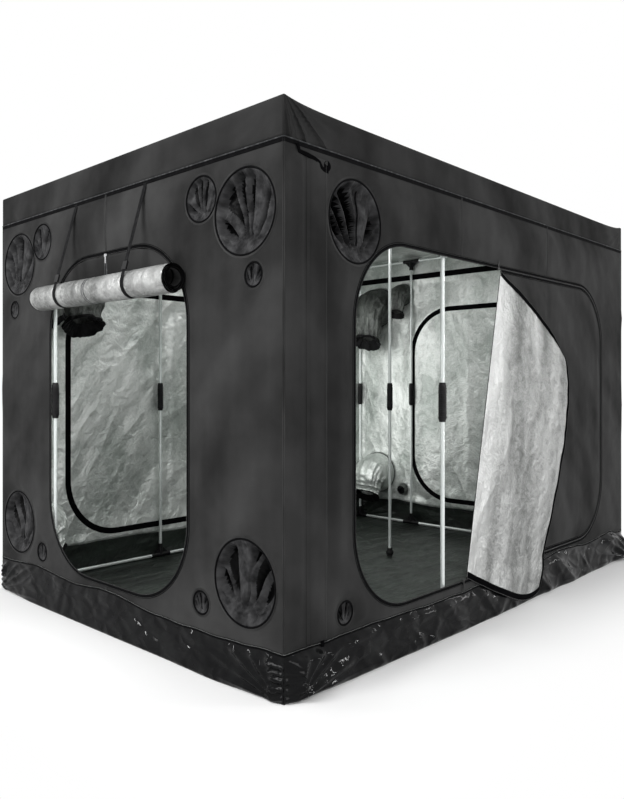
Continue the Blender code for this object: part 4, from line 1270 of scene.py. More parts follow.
@dataclass
class PortWork:
    """One port: its ring, the crumpled face that shows outside, and the sock inside."""

    side: Side
    port: Port
    number: int
    around: int = 120
    rings: int = 40
    depth: float = 0.62
    rim: float = 1.004

    def face_depth(self, u: Array, v: Array) -> Array:
        """Depth of the gathered face in shares of the radius, from places in shares of it.

        Pleats run up from a foot below the ring. Across the angle about it each one jumps up and then
        falls off slowly; a broad smooth lobe stands among them, and near the foot they bunch.

        Args:
            u: across, 1 at the ring, growing to the viewer's right.
            v: up, 1 at the ring.

        Returns:
            Depth below the ring, as a share of the radius.
        """
        seed = 300 + self.number + 7 * self.side.number
        turn = np.arctan2(u - self.foot[0], v - self.foot[1])
        place = turn * 3.4 + 0.9 * lattice(turn * 2.5 + 20, v * 0.6 + 5, seed) + 0.12 * np.sin(4 * v + seed)
        share = place - np.floor(place)
        pleat = ease(share, 0.0, 0.16) * (1 - 0.9 * ease(share, 0.12, 1.05))
        pleat = pleat * (0.55 + 0.45 * lattice(np.floor(place) + 20.5, v * 0 + 3.5, seed + 1))
        past = turn - self.lobe
        lobe = ease(past, -0.02, 0.06) * (1 - ease(past, 0.30, 0.42)) * ease(v, -0.80, -0.45)
        pleat = pleat * (1 - lobe) + (0.80 + 0.10 * np.cos((past - 0.18) * 8)) * lobe
        bunch = creases(u * 4.5 + 20, v * 5.5 - u * 2 + 20, seed + 3, 2) ** 2
        low = 1 - ease(v, -0.85, -0.35)
        height = pleat * (1 - low) + bunch * low
        deepest = 0.14 + 0.66 * ease(v, -0.95, 0.05) * (1 - 0.3 * ease(v, 0.55, 0.95))
        return (0.07 + (deepest - 0.07) * (1 - height)) * ease(1 - np.hypot(u, v), 0.0, 0.20)

    @property
    def foot(self) -> tuple[float, float]:
        """Where the pleats meet, in shares of the radius."""
        return 0.14 - 0.28 * (self.number % 2), -1.12

    @property
    def lobe(self) -> float:
        """The angle at which the smooth lobe starts, from straight up about the foot."""
        return (0.02, -0.16, 0.10)[self.number % 3]

    def build(self) -> None:
        """The port's pieces."""
        self.build_face()
        self.build_sock()

    def spot(self, u: Array, v: Array, out: Array) -> Array:
        """Points from shares of the radius, as a viewer outside sees them.

        Args:
            u: across, growing to the viewer's right.
            v: up.
            out: distance out from the wall, in metres.

        Returns:
            Points on the wall.
        """
        r = self.port.radius
        mirror = -1.0 if self.side.turned else 1.0
        return self.side.point(self.port.across + mirror * u * r, out, self.port.high + v * r)

    def build_face(self) -> None:
        """The face as a disc of rings, with the piping and flat band round it and the edge along its slit."""
        maker, r = Maker(f"{self.side.value}_port_{self.number}_face"), self.port.radius
        turns = np.linspace(0, TURN, self.around + 1)[:, None]
        share = np.linspace(1.0, 0.0, self.rings)[None, :]
        u, v = np.cos(turns) * share, np.sin(turns) * share
        depth = self.face_depth(u, v)
        # Deep cells take SHADED, near-black painted shade in the valleys; the rest take PLEATS, painted
        # lighter as lit.
        deep = (cell_middles(depth) > 0.40) & (share[:, 1:] < 0.93)
        points = self.spot(u, v, 0.0006 - depth * r * self.depth)
        maker.grid(points, flat=pair(u, v) * r, slot=np.where(deep, 4, 0))
        flat_band = [(0.014, 0.0), (0.0135, 0.0012), (0.0045, 0.0016)]
        for slot, profile in enumerate((half_round(0.0048, 0.0042, 0.0, 8), flat_band), 1):
            off, out = np.array(profile).T[:, None, :]
            share = self.rim + off / r
            maker.grid(self.spot(np.cos(turns) * share, np.sin(turns) * share, out), slot=slot)
        self.add_edge(maker)
        finishes = (PLEATS, TAPE, CHARCOAL, TAPE, SHADED)
        made = maker.finish(finishes, record="charcoal_cloth", angle=60)

    def add_edge(self, maker: Maker) -> None:
        """The bound edge beside the slit, a half round that follows the face's depth.

        Args:
            maker: the face's own.
        """
        v = np.linspace(0.80, -0.55, 60)
        middle = self.foot[0] + (v - self.foot[1]) * math.tan(self.lobe + 0.03)
        middle = middle + 0.01 * np.sin(v * 7 + self.number)
        inside = np.hypot(middle, v) < 0.88
        middle, v = middle[inside][:, None], v[inside][:, None]
        wide = min(0.0042, self.port.radius * 0.05)
        off, lift = np.array(half_round(wide, wide)).T[:, None, :]
        out = 0.0010 - self.face_depth(middle, v) * self.port.radius * self.depth + lift
        maker.grid(self.spot(middle + off / self.port.radius, v, out), slot=3, flip=True)

    def build_sock(self) -> None:
        """The sock inside: rings whose middle runs inwards, then down, with crumpled radii and a black mouth.

        Each row of the table is a ring: how far in and down its middle is, its tilt in degrees, and half
        its width and height, all but the tilt in shares of the radius. Rings in between are interpolated.
        """
        r, hang = self.port.radius, self.port.hang
        small = hang == 0.0
        rows = np.array(SHORT_SOCK if small else LONG_SOCK, float)
        t = np.linspace(0, len(rows) - 1, 8 * (len(rows) - 1) + 1)[:, None]
        inward, drop, tilt, wide, deep = (np.interp(t, np.arange(len(rows)), column) for column in rows.T)
        turns = np.linspace(0, TURN, self.around + 1)[None, :]
        cos, sin = np.cos(turns), np.sin(turns)
        crumple = creases(cos * 2.2 + 20 + t * 0.12, sin * 2.2 + 20, 500 + self.number, 3)
        ripple = creases(t * 1.3 + 20, cos * 1.5 + sin + 20, 540 + self.number, 2) ** 2
        rough = 1 + ((crumple - 0.55) * 0.26 + (ripple - 0.4) * 0.12) * ease(t, 0.9, 2.6)
        lean = np.radians(tilt)
        push = 0.004 + r * (inward + deep * rough * np.sin(lean) * sin)
        high = self.port.high + r * (deep * rough * np.cos(lean) * sin - hang * drop)
        across = self.port.across + wide * rough * r * cos
        points = self.side.point(across, -np.maximum(push, 0.0035), high)
        maker = Maker(f"{self.side.value}_port_{self.number}_sock")
        mouth = (t[:-1] > len(rows) - (2.2 if small else 4.6)).astype(int)
        maker.grid(points, slot=mouth, flip=self.side.turned)
        cloth = SILVER if hang == 0.6 else SOCK
        made = maker.finish((cloth, NYLON), record="silver_lining", angle=70)
        around = TURN * r * 0.95
        sum(face.area for face in made.data.polygons) / around


@dataclass
class Cap:
    """The roof cap: one sagging sheet with its skirt, the piping under it and the tape in the seam."""

    high: float = 2.407
    seam: float = 2.2386
    edge_sag: float = 0.0205
    middle_sag: float = 0.012

    def roof(self, x: Array, y: Array) -> Array:
        """Height of the roof: full at the corners, lower by an exponential away from them, with sagging bays.

        Args:
            x: along the tent.
            y: across it.

        Returns:
            Heights.
        """
        in_x = np.maximum(HALF_LONG - CORNER - np.abs(x), 0)
        in_y = np.maximum(HALF_WIDE - CORNER - np.abs(y), 0)
        share = 0.02 + 0.98 * in_x / (in_x + in_y + 0.0001)
        edge = self.edge_sag * share * (1 - np.exp(-np.hypot(in_x, in_y) / 0.1))
        along = np.sin(3 * math.pi * (x + HALF_LONG) / (2 * HALF_LONG)) ** 2
        across = np.sin(math.pi * (y + HALF_WIDE) / (2 * HALF_WIDE)) ** 2
        return self.high - edge - self.middle_sag * along * across

    def relief(self, side: Side, across: Array, high: Array, top: Array) -> Array:
        """Folds of the skirt: fans from both corners, soft creases, and fine ones just over the seam.

        Args:
            side: the wall that the skirt hangs over.
            across: across it.
            high: up it.
            top: height of the roof's edge there.

        Returns:
            Distance out from the flat skirt.
        """
        near = side.reach - np.abs(across)
        seed = 700 + 31 * side.number
        fan = corner_pull(near, top - high, seed) * ease(top - high, 0.0, 0.05)
        soft = creases(across * 2.2 + 20, high * 5, seed + 3, 2) ** 3
        fine = creases(across * 8.0 + high * 9 + 20, high * 6, seed + 7, 2) ** 3
        fine = fine * np.exp(-(high - self.seam) / 0.05)
        free = ease(high - self.seam, 0.002, 0.03) * ease(near, 0.010, 0.04)
        steep = 0.012 if side is Side.FRONT else 0.006
        return (steep * fan + 0.0050 * soft + 0.0022 * fine) * free

    def build(self) -> None:
        """The cap: a skirt on each side, a quarter round over its edge, and the roof; then the welt."""
        maker = Maker("roof_cap_cloth")
        quarter = np.linspace(0, math.pi / 2, 6)[None, 1:]
        for side in Side:
            xs = side.places(0.02)[:, None]
            top = self.edge_top(side, xs)
            low = self.seam + (top - CORNER - self.seam) * np.linspace(0, 1, 12)[None, :]
            high = np.concatenate([low, top - CORNER + CORNER * np.sin(quarter)], axis=1)
            over = np.repeat(-CORNER + CORNER * np.cos(quarter), len(xs), axis=0)
            out = np.concatenate([self.relief(side, xs, low, top), over], axis=1)
            maker.grid(side.point(xs, out, high), flat=pair(xs, high), flip=side.turned)
        flat_x, flat_y = HALF_LONG - CORNER, HALF_WIDE - CORNER
        x, y = np.meshgrid(spread(-flat_x, flat_x, 0.02), spread(-flat_y, flat_y, 0.02), indexing="ij")
        rim = np.minimum(flat_x - np.abs(x), flat_y - np.abs(y))
        wave = creases(x * 1.6 + 20, y * 1.6 + 20, 811, 3) ** 3 * 0.004 * ease(rim, 0.0, 0.12)
        away = np.hypot(HALF_LONG - np.abs(x), HALF_WIDE - np.abs(y))
        maker.grid(np.stack([x, y, self.roof(x, y) - wave * ease(away, 0.05, 0.3)], axis=-1))
        cap = maker.finish((CAP_CLOTH, SILVER), replaces=["roof_cap"], **LINED, angle=50)
        skirt = self.high - self.seam
        size = (2 * HALF_LONG + 2 * skirt, 2 * HALF_WIDE + 2 * skirt)
        size[0] * size[1] - 4 * skirt * skirt
        self.build_welt()

    def edge_top(self, side: Side, across: Array) -> Array:
        """Height of the roof where it turns down on one side.

        Args:
            side: the side.
            across: places across it.

        Returns:
            Heights.
        """
        inner = np.clip(across, -side.reach + CORNER, side.reach - CORNER)
        if side in (Side.FRONT, Side.BACK):
            return self.roof(inner, np.full_like(inner, HALF_WIDE - CORNER))
        return self.roof(np.full_like(inner, HALF_LONG - CORNER), inner)

    def build_welt(self) -> None:
        """Light piping over a dark strip outside, and black tape inside, all round."""
        maker = Maker("roof_seam_piping")
        strip = [(0.0065, 0.0), (0.006, 0.0014), (-0.011, 0.0016), (-0.0125, 0.0)]
        tape = [(-0.024, -0.0016), (-0.0235, -0.0036), (0.0235, -0.0036), (0.024, -0.0016)]
        for side in Side:
            xs = side.places(0.04)
            maker.trim(side, pair(xs, WALL_TOP + 0.0012), half_round(0.0026, 0.0032), 1)
            maker.trim(side, pair(xs, WALL_TOP - 0.013), strip)
            inner = xs[np.abs(xs) < side.reach - 0.004]
            maker.trim(side, pair(inner, WALL_TOP - 0.01), tape, inside=True)
        maker.finish((TAPE, PIPING), replaces=["roof_seam_welt"], record="tape")


@dataclass
class Tub:
    """The tray at the foot: glossy skirt outside, dark crinkled sheet on the floor."""

    foot: float = 0.0008
    bulge: float = 0.032
    floor: float = 0.003
    floor_x: float = 1.797
    floor_y: float = 1.197
    pole_x: float = 0.6

    def relief(self, side: Side, across: Array, high: Array, share: Array) -> Array:
        """Slanting gathers, as creases raised to a power, over a foot that bulges out between the corners.

        The two walls out of the photograph have weaker ones. Beside each corner the skirt also has folds
        that fan out from its foot and a stack of level gathers, a raised cosine up the skirt.

        Args:
            side: the wall that the skirt is under.
            across: across it.
            high: up it.
            share: 0 at the foot and 1 at the seam.

        Returns:
            Distance out from the flat skirt.
        """
        seed = 900 + 13 * side.number
        near = side.reach - np.abs(across)
        ends = 1 - ease(near, 0.03, 0.30)
        strong = 0.12 + 0.5 * ends if side.turned else 1.0 + 0.3 * ends
        lean = across + 0.9 * high
        back = across - 1.1 * high
        steep = creases(lean * 1.5 + 20, high * 1.2 + 3, seed, 2) ** 4
        other = creases(back * 2.1 + 20, high * 1.7 + 3, seed + 4, 2) ** 4
        level = creases(lean * 4.5 + 20, back * 1.5 + 20, seed + 11, 2) ** 7
        rise = (0.036 * steep + 0.026 * other + 0.018 * level) * strong
        wander = 1.4 * lattice(near * 16 + 20, high * 12 + 20, seed + 15)
        gather = (1 + np.cos(TURN * (high / 0.036 + wander))) / 2 * ease(near, 0.0, 0.012)
        gather = gather * (1 - ease(near, 0.055, 0.095))
        rise = rise + 0.014 * corner_pull(near, high * 1.3, seed + 21)
        swell = 0.75 + 0.5 * lattice(across * 2.3 + 20, high * 0 + 2.5, seed + 8)
        bulge = self.bulge * swell * (1 - share) ** 1.3 * ease(near, 0.0, 0.45)
        edge = ease(share, -0.10, 0.16) * ease(1 - share, 0.0, 0.22)
        stack = 0.011 * gather * ease(share, -0.1, 0.1) * ease(1 - share, 0.05, 0.3)
        return bulge + rise * edge * ease(near, 0.008, 0.06) + stack

    def build(self) -> None:
        """The tray and the stitched seam over its skirt."""
        maker, seam = Maker("tub_tray"), Maker("tub_seam")
        band = [(0.0065, 0.0004), (0.006, 0.0018), (-0.006, 0.0020), (-0.007, 0.0)]
        row = [(-0.0035, 0.0018), (-0.0043, 0.0030), (-0.0051, 0.0018)]
        share = np.linspace(0, 1, 38)[None, :]
        for side in Side:
            xs = side.places(0.0125)[:, None]
            top = seam_wave(side, xs) + 0.0015
            high = self.foot + (top - self.foot) * share
            out = self.relief(side, xs, high, share) - 0.0035 * (1 - ease(share, 0.0, 0.04))
            maker.grid(side.point(xs, out, high), flat=pair(xs, high), flip=side.turned)
            path = pair(xs, top)[:, 0]
            seam.trim(side, path, band)
            seam.trim(side, path, row, 1)
        more = {"thick": 0.0011, "lining": 1, "record": "vinyl", "angle": 60}
        tray = maker.finish((VINYL, FLOOR_SHEET), replaces=["tub_base"], **more)
        for side in Side:
            path = line((side.reach - 0.004, 0.004), (side.reach - 0.004, 0.186))
            seam.trim(side, path, half_round(0.0024, 0.0026, -0.0006))
        seam.finish((TAPE, LIGHT_STITCH), record="tape")
        self.build_floor()

    def build_floor(self) -> None:
        """The floor: soft swells and creases up to 7 mm, flat at the walls and under poles and rails."""
        maker = Maker("tub_floor")
        xs, ys = spread(-self.floor_x, self.floor_x, 0.02), spread(-self.floor_y, self.floor_y, 0.02)
        x, y = np.meshgrid(xs, ys, indexing="ij")
        rim = np.minimum(self.floor_x - np.abs(x), self.floor_y - np.abs(y))
        feet = np.minimum(np.hypot(x - self.pole_x, y), np.hypot(x + self.pole_x, y))
        rise = 0.005 * creases(x * 1.9 + 20, y * 2.3 + 20, 950, 4) ** 2
        rise = (rise + 0.002 * lattice(x * 3 + 20, y * 3 + 20, 951)) * ease(rim, 0.06, 0.16)
        points = np.stack([x, y, self.floor + rise * ease(feet, 0.03, 0.12)], axis=-1)
        maker.grid(points, flat=pair(x, y))
        floor = maker.finish((FLOOR_SHEET, VINYL), thick=0.002, lining=1, record="vinyl")


@dataclass
class Flap:
    """The front door's loose part, folded back on its fold line: silver face out, bound in black."""

    foot: tuple[float, float] = (-0.413, 0.253)
    head: tuple[float, float] = (-0.044, 1.888)
    reach: float = 1.0
    lift: float = 0.0022
    slope: float = 0.022
    fold: float = 0.012
    folds: float = 4.0
    fan: float = math.radians(40)
    over_skirt: float = 0.005
    cells: int = 96

    @property
    def length(self) -> float:
        """Length of the fold line."""
        return math.dist(self.foot, self.head)

    @property
    def lean(self) -> float:
        """How far the fold line leans across for each metre up."""
        return (self.head[0] - self.foot[0]) / (self.head[1] - self.foot[1])

    def line_at(self, high: Array) -> Array:
        """Where the fold line is across the wall at some heights."""
        return self.foot[0] + self.lean * (high - self.foot[1])

    @staticmethod
    def bezier(points: Sequence[tuple[float, float]], t: Array) -> Array:
        """Cubic curve with two handles: the points by the cubic Bernstein weights of t.

        Args:
            points: start, two handles and end.
            t: shares of the way (..., 1).

        Returns:
            Points of the curve.
        """
        a, b, c, d = (np.array(p, float) for p in points)
        s = 1 - t
        return a * s**3 + 3 * b * t * s**2 + 3 * c * t**2 * s + d * t**3

    def points(self, across: Array, up: Array) -> Array:
        """A Coons patch between the fold line and three free edges, waved by folds that fan from its head.

        Off the wall it rises by its slope and by raised cosines over the angle about the head, with
        ridges and crumples. Where the skirt below bulges, it stays over a smooth cover of that bulge.

        Args:
            across: 0 on the fold line, 1 on the outer edge.
            up: 0 at the bottom, 1 at the top.

        Returns:
            Points of the flap.
        """
        a, u = across[..., None], up[..., None]
        low, high = (-0.018, 0.80), (0.841, 0.88)
        bottom_edge = ((0, 0), (-0.030, 0.27), (-0.101, 0.66), low)
        outer_edge = (low, (0.179, 0.86), (0.680, 1.17), high)
        top_edge = ((1, 0), (0.966, 0.28), (0.913, 0.62), high)
        ruled = self.bezier(bottom_edge, a) * (1 - u) + self.bezier(top_edge, a) * u
        ruled = ruled + np.concatenate([u, u * 0], axis=-1) * (1 - a) + self.bezier(outer_edge, u) * a
        corner = np.array(low) * a * (1 - u) + np.array((1.0, 0.0)) * (1 - a) * u + np.array(high) * a * u
        along, out = np.moveaxis((ruled - corner) * (self.length, self.reach), -1, 0)
        fan = np.arctan2(out, self.length - along + 0.004) / self.fan
        waves = self.folds * fan * (0.6 + 0.4 * fan) + 0.25 * lattice(along * 1.5 + 20, fan * 2, 1190)
        swing = (1 - np.cos(TURN * waves)) / 2
        ridge = creases(fan * 4.2 + 20, along * 0.9 + 20, 1200, 3) ** 2
        crumple = creases(along * 4.0 + 20, out * 7 - along + 20, 1210, 3) - 0.5
        far = ease(out, 0.02, 0.25) * (1 - 0.8 * ease(across, 0.80, 1.0))
        uneven = (0.020 * ridge + 0.006 * crumple) * far
        off = self.lift + out * (self.slope + self.fold * swing * far) + uneven
        rise = 1 / math.hypot(1, self.lean)
        x = self.foot[0] + along * self.lean * rise + out * rise
        z = self.foot[1] + along * rise - out * self.lean * rise
        share = np.clip(z / seam_wave(Side.FRONT, x), 0.0, 1.0)
        skirt = Tub().relief(Side.FRONT, x, z, share) * ease(-z, -0.26, -0.19)
        off = np.maximum(off, cover(skirt, 5) + self.over_skirt)
        return np.stack([x, -HALF_WIDE - np.maximum(off, self.lift), z], axis=-1)

    def build(self) -> None:
        """The flap's cloth and its binding with the zip's loose half."""
        t = np.linspace(0, 1, self.cells + 1)
        across, up = np.meshgrid(t, t, indexing="ij")
        points = self.points(across, up)
        maker = Maker("front_door_flap_cloth")
        maker.grid(points)
        more = {"thick": CLOTH, "offset": 0.0, "lining": 1, "record": "silver_lining"}
        cloth = maker.finish((FOLD_SILVER, CHARCOAL), "front_flap", ["front_door_flap"], **more)
        self.build_binding(points)

    def build_binding(self, points: Array) -> None:
        """Black tape folded over the three free edges, with the zip's coil along its rim.

        Args:
            points: the flap's own grid.
        """
        normal = np.cross(np.gradient(points, axis=0), np.gradient(points, axis=1))
        normal = normal / np.linalg.norm(normal, axis=-1, keepdims=True)
        maker = Maker("front_door_flap_binding")
        edges = ((points[:, 0], points[:, 2], normal[:, 1]), (points[-1], points[-3], normal[-2]))
        edges += ((points[::-1, -1], points[::-1, -3], normal[::-1, -2]),)
        coil = [(0.0012, 0.0006), (0.0016, 0.0022), (0.0034, 0.0026), (0.0046, 0.0014)]
        coil += [(0.0046, -0.0008), (0.0034, -0.0014), (0.0012, -0.0006)]
        for wide, (rim, inner, face) in zip((0.030, 0.024, 0.022), edges):
            way = rim - inner
            way = way / np.linalg.norm(way, axis=-1, keepdims=True)
            tape = [(-wide, 0.0007), (-wide + 0.001, 0.0016), (-0.001, 0.0017), (0.0014, 0.0004)]
            tape += [(a, -b) for a, b in reversed(tape)]
            for slot, shape in enumerate((tape, coil)):
                strip = np.stack([rim + way * a + face * b for a, b in shape], axis=1)
                maker.grid(strip, slot=slot, flip=True)
        maker.finish((DARK_CLOTH, COIL), "front_flap", record="tape")


@dataclass
class DoorPanel:
    """A closed door: its cloth, its half of the zip outside, and the black tape inside."""

    wall: Wall
    name: str
    node: str
    body: str
    fold: Flap | None = None

    def build(self) -> None:
        """The panel, from its left edge or the fold line to its right edge, and its trim."""
        side, door = self.wall.side, self.wall.door.grown(-0.0004)
        t = (1 - np.cos(np.linspace(0, math.pi, 97))) / 2
        high = door.bottom + (door.top - door.bottom) * t
        low, far = door.half_at(high)
        if self.fold:
            low = np.maximum(low, self.fold.line_at(high) + 0.0035)
        share = np.linspace(0, 1, max(int((door.right - door.left) / 0.02), 8) + 1)
        across = low[None, :] + (far - low)[None, :] * share[:, None]
        up = np.repeat(high[None, :], len(share), axis=0)
        maker = Maker(f"{self.name}_cloth")
        points = side.point(across, self.relief(across, up), up)
        maker.grid(points, flat=pair(across, up), flip=side.turned)
        cloth = maker.finish((CHARCOAL, SILVER), self.body, [self.node], **LINED)
        area = float(np.sum((far - low)[:-1] * np.diff(high) + (far - low)[1:] * np.diff(high)) / 2)
        size = (float(np.max(far) - np.min(low)), door.top - door.bottom)
        min(area, size[0] * size[1])
        self.build_trim()

    def relief(self, across: Array, high: Array) -> Array:
        """The wall's own folds; beside a fold line they are calm and grow over the first metre.

        Args:
            across: across the wall.
            high: up the wall.

        Returns:
            Distance out from the flat wall.
        """
        rise = self.wall.relief(across, high)
        if self.fold is None:
            return rise
        past = across - self.fold.line_at(high)
        return rise * ease(past, 0.02, 0.25) * (0.08 + 0.92 * ease(past, 0.0, 1.0))

    def build_trim(self) -> None:
        """The zip's inner half outside, and tape round the edge inside."""
        maker, path, edge = Maker(f"{self.name}_zip"), self.wall.zip_path(), self.wall.door.path()
        if self.fold:
            path = open_run(path, (path[:, 0] > self.fold.line_at(path[:, 1]) + 0.012)[:-1])
            edge = path
        self.wall.half_zip(maker, path, -1.0)
        inner = [(-0.023, -0.0016), (-0.022, -0.0030), (-0.001, -0.0026), (0.0, -0.0016)]
        maker.trim(self.wall.side, edge, inner, inside=True)
        maker.finish((DARK_CLOTH, TAPE, STITCH, COIL), self.body, record="tape")


@dataclass
class RolledDoor:
    """The left end door, rolled up outwards round its own core and held by two straps."""

    door: RoundedBox
    roll_x: float = -1.8703
    roll_high: float = 1.735
    outer: float = 0.0685
    core: float = 0.026
    leave: float = 1.80
    plane: float = -1.7985
    straps: tuple[float, float] = (-0.287, 0.333)
    turns: float = 5.0
    steps: int = 30

    def radius(self, turn: Array) -> Array:
        """The sheet's radius after a number of turns."""
        return self.outer + (self.core - self.outer) * turn / self.turns

    def path(self) -> tuple[Array, Array, Array]:
        """The sheet's line from its top: straight down, off the wall, then wound inwards at a steady rate.

        Returns:
            x, z, and how far down the cloth each point is.
        """
        down = np.linspace(self.door.top - 0.0003, self.leave, 9)
        share = np.linspace(0, 1, 9)[1:]
        turn = np.linspace(0, self.turns, int(self.turns * self.steps) + 1)
        shift = self.roll_x + self.outer - self.plane
        x = np.concatenate([down * 0 + self.plane, self.plane + shift * ease(share, 0, 1)])
        z = np.concatenate([down, self.leave + (self.roll_high - self.leave) * share])
        angle = -TURN * turn[1:]
        radius = self.radius(turn[1:])
        x = np.concatenate([x, self.roll_x + radius * np.cos(angle)])
        z = np.concatenate([z, self.roll_high + radius * np.sin(angle)])
        along = np.concatenate([[0], np.cumsum(np.hypot(np.diff(x), np.diff(z)))])
        return x, z, along * (self.door.top - self.door.bottom - 0.004) / along[-1]

    def dent(self, y: Array) -> Array:
        """How strongly the straps press the roll in at a place along it."""
        return sum(np.exp(-(((y - strap) / 0.022) ** 2)) for strap in self.straps)

    def build(self) -> None:
        """The rolled sheet, silver outside, with its seam band and bound edges.

        Across the cloth the middle 0.4 m keeps its places, where two light bands run beside the seam,
        and the rest stretches to the outline's edge. Off the spiral the cloth is pushed out by creases
        in its first two turns and pressed in by the straps; the inner turns are wound unevenly.
        """
        x, z, down = self.path()
        half = np.minimum(self.door.half_at(self.door.top - down)[1], 0.5995)[None, :]
        seam = [-0.2, -0.1, 0.0, 0.0176, 0.032, 0.04, 0.0485, 0.0565, 0.065, 0.1, 0.2]
        c = np.unique(np.concatenate([spread(-1, -0.3, 0.02), seam, spread(0.3, 1, 0.02)]))[:, None]
        y = np.where(np.abs(c) <= 0.2, c, np.sign(c) * (0.2 + (np.abs(c) - 0.2) / 0.8 * (half - 0.2)))
        winding = np.arange(1 - len(x), 1)[None, :] + int(self.turns * self.steps)
        turn = np.maximum(winding, 0) / self.steps
        loose = ease(turn, -0.01, 0.25) * (1 - ease(turn, 1.1, 2.2))
        slant = creases(y * 5.0 + turn * 2.6 + 20, turn * 3.2 - y * 2.0 + 20, 1300, 3)
        long = creases(y * 1.6 + 20, turn * 5.0 + 3, 1310, 3)
        push = (0.0045 * slant + 0.004 * long - 0.0045) * loose - 0.0032 * self.dent(y) * loose
        uneven = 0.0022 * np.sin(turn * 17 + 1.3) * ease(turn, 0.8, 1.6) * (1 - self.dent(y) * 0.5)
        angle = np.arctan2(z - self.roll_high, x - self.roll_x)[None, :]
        grow = (push + uneven) * (winding > 0)
        px, pz = x[None, :] + grow * np.cos(angle), z[None, :] + grow * np.sin(angle)
        points = np.stack(np.broadcast_arrays(px, y, pz), axis=-1)
        middle = (c[1:] + c[:-1]) / 2
        bands = ((middle > 0.04) & (middle < 0.0485)) | ((middle > 0.0565) & (middle < 0.065))
        slots = np.where(bands, 2, 0)
        slots[[0, -1]] = 4
        maker = Maker("rolled_door_cloth")
        maker.grid(points, flat=pair(y, down[None, :]), slot=slots)
        finishes = (CHARCOAL, FLAP_SILVER, PIPING, PIPING, TAPE, TAPE)
        more = {"thick": 0.0016, "offset": 0.0, "lining": 1, "record": "silver_lining"}
        roll = maker.finish(finishes, replaces=["rolled_door"], **more)


@dataclass
class Strap:
    """One webbing strap round the roll: its upper length, its lead to the buckle and its wrap."""

    name: str
    across: float
    roll: RolledDoor
    wide: float = 0.025
    thick: float = 0.0015
    clear: float = 0.0028
    end: float = 2.20
    top: tuple[float, float] = (-1.8013, 2.2145)
    touch: tuple[float, float] = (-1.9344, 1.7535)
    way: tuple[float, float] = (-0.2773, -0.96078)
    to_prongs: float = 0.0537
    to_socket: float = 0.0805

    def ribbon(self, name: str, x: Array, z: Array, body: str, node: str) -> bpy.types.Object:
        """A flat strip: a path of x and z, moved along Y by shares of half its width.

        Args:
            name: the piece's name.
            x: the path's x.
            z: the path's height.
            body: the body it rides on, or empty.
            node: the CAD node it stands for, or empty.

        Returns:
            The piece.
        """
        share = np.array([-1, -0.92, -0.8, 0.8, 0.92, 1])
        y = self.across + share * self.wide / 2
        points = np.stack(np.broadcast_arrays(x[None, :], y[:, None], z[None, :]), axis=-1)
        maker = Maker(name)
        maker.grid(points)
        more = {"thick": self.thick, "offset": 0.0, "record": "webbing"}
        return maker.finish((WEBBING,), body, [node] if node else [], **more)

    def build(self) -> None:
        """The length down to the socket, the lead from the prongs to the roll, and the wrap."""
        top, touch, way = np.array(self.top), np.array(self.touch), np.array(self.way)
        upper = top + (touch - way * self.to_socket - top) * np.linspace(0, 1, 24)[1:, None]
        x = np.concatenate([[top[0], top[0]], upper[:, 0]])
        z = np.concatenate([[top[1] + 0.012, top[1]], upper[:, 1]])
        self.ribbon(f"strap_upper_{self.name}_webbing", x, z, TENT, f"strap_upper_{self.name}")
        foot = touch - way * self.to_prongs
        lead = foot + (touch - foot) * np.linspace(0, 1, 10)[:, None]
        piece = self.ribbon(f"strap_lead_{self.name}_webbing", lead[:, 0], lead[:, 1], "", "")
        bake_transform(piece)
        x, z = self.wrap()
        self.ribbon(f"strap_wrap_{self.name}_webbing", x, z, TENT, f"strap_lower_{self.name}")

    def wrap(self) -> tuple[Array, Array]:
        """The wrap's line: from the buckle's side under the roll along its spiral, then up behind the cloth.

        Returns:
            x and z.
        """
        roll = self.roll
        angle = math.atan2(self.touch[1] - roll.roll_high, self.touch[0] - roll.roll_x) % TURN
        turns = np.linspace((TURN - angle) / TURN, 0, 40)
        ease_in = np.sin(np.clip((turns[0] - turns) / 0.1, 0, 1) * math.pi / 2)
        radius = roll.radius(turns) + self.clear - 0.0016 * ease_in
        spin = -TURN * turns
        x, z = roll.roll_x + radius * np.cos(spin), roll.roll_high + radius * np.sin(spin)
        share = np.linspace(0, 1, 10)[1:]
        behind = roll.plane + self.clear
        up = np.linspace(roll.leave, self.end, 12)[1:]
        back = x[-1] - (x[-1] - behind) * ease(share, 0, 1)
        z = np.concatenate([z, z[-1] + (roll.leave - z[-1]) * share, up])
        return np.concatenate([x, back, up * 0 + behind]), z


def turned_grid(profile: Array, start: Array, end: Array, around: int = 28) -> Array:
    """Carry radii along a straight axis: the axis point plus the radius times the circle's two directions.

    Args:
        profile: distances along the axis from its start, and radii (n, 2).
        start: the axis's start.
        end: a point further along it.
        around: points round the circle.

    Returns:
        Grid of points, round first.
    """
    way = (end - start) / np.linalg.norm(end - start)
    first = np.cross(way, [0.0, 0.0, 1.0] if abs(way[2]) < 0.9 else [1.0, 0.0, 0.0])
    first = first / np.linalg.norm(first)
    second = np.cross(way, first)
    turns = np.linspace(0, TURN, around + 1)[:, None, None]
    ring = np.cos(turns) * first + np.sin(turns) * second
    return start + way * profile[None, :, :1] + ring * profile[None, :, 1:]


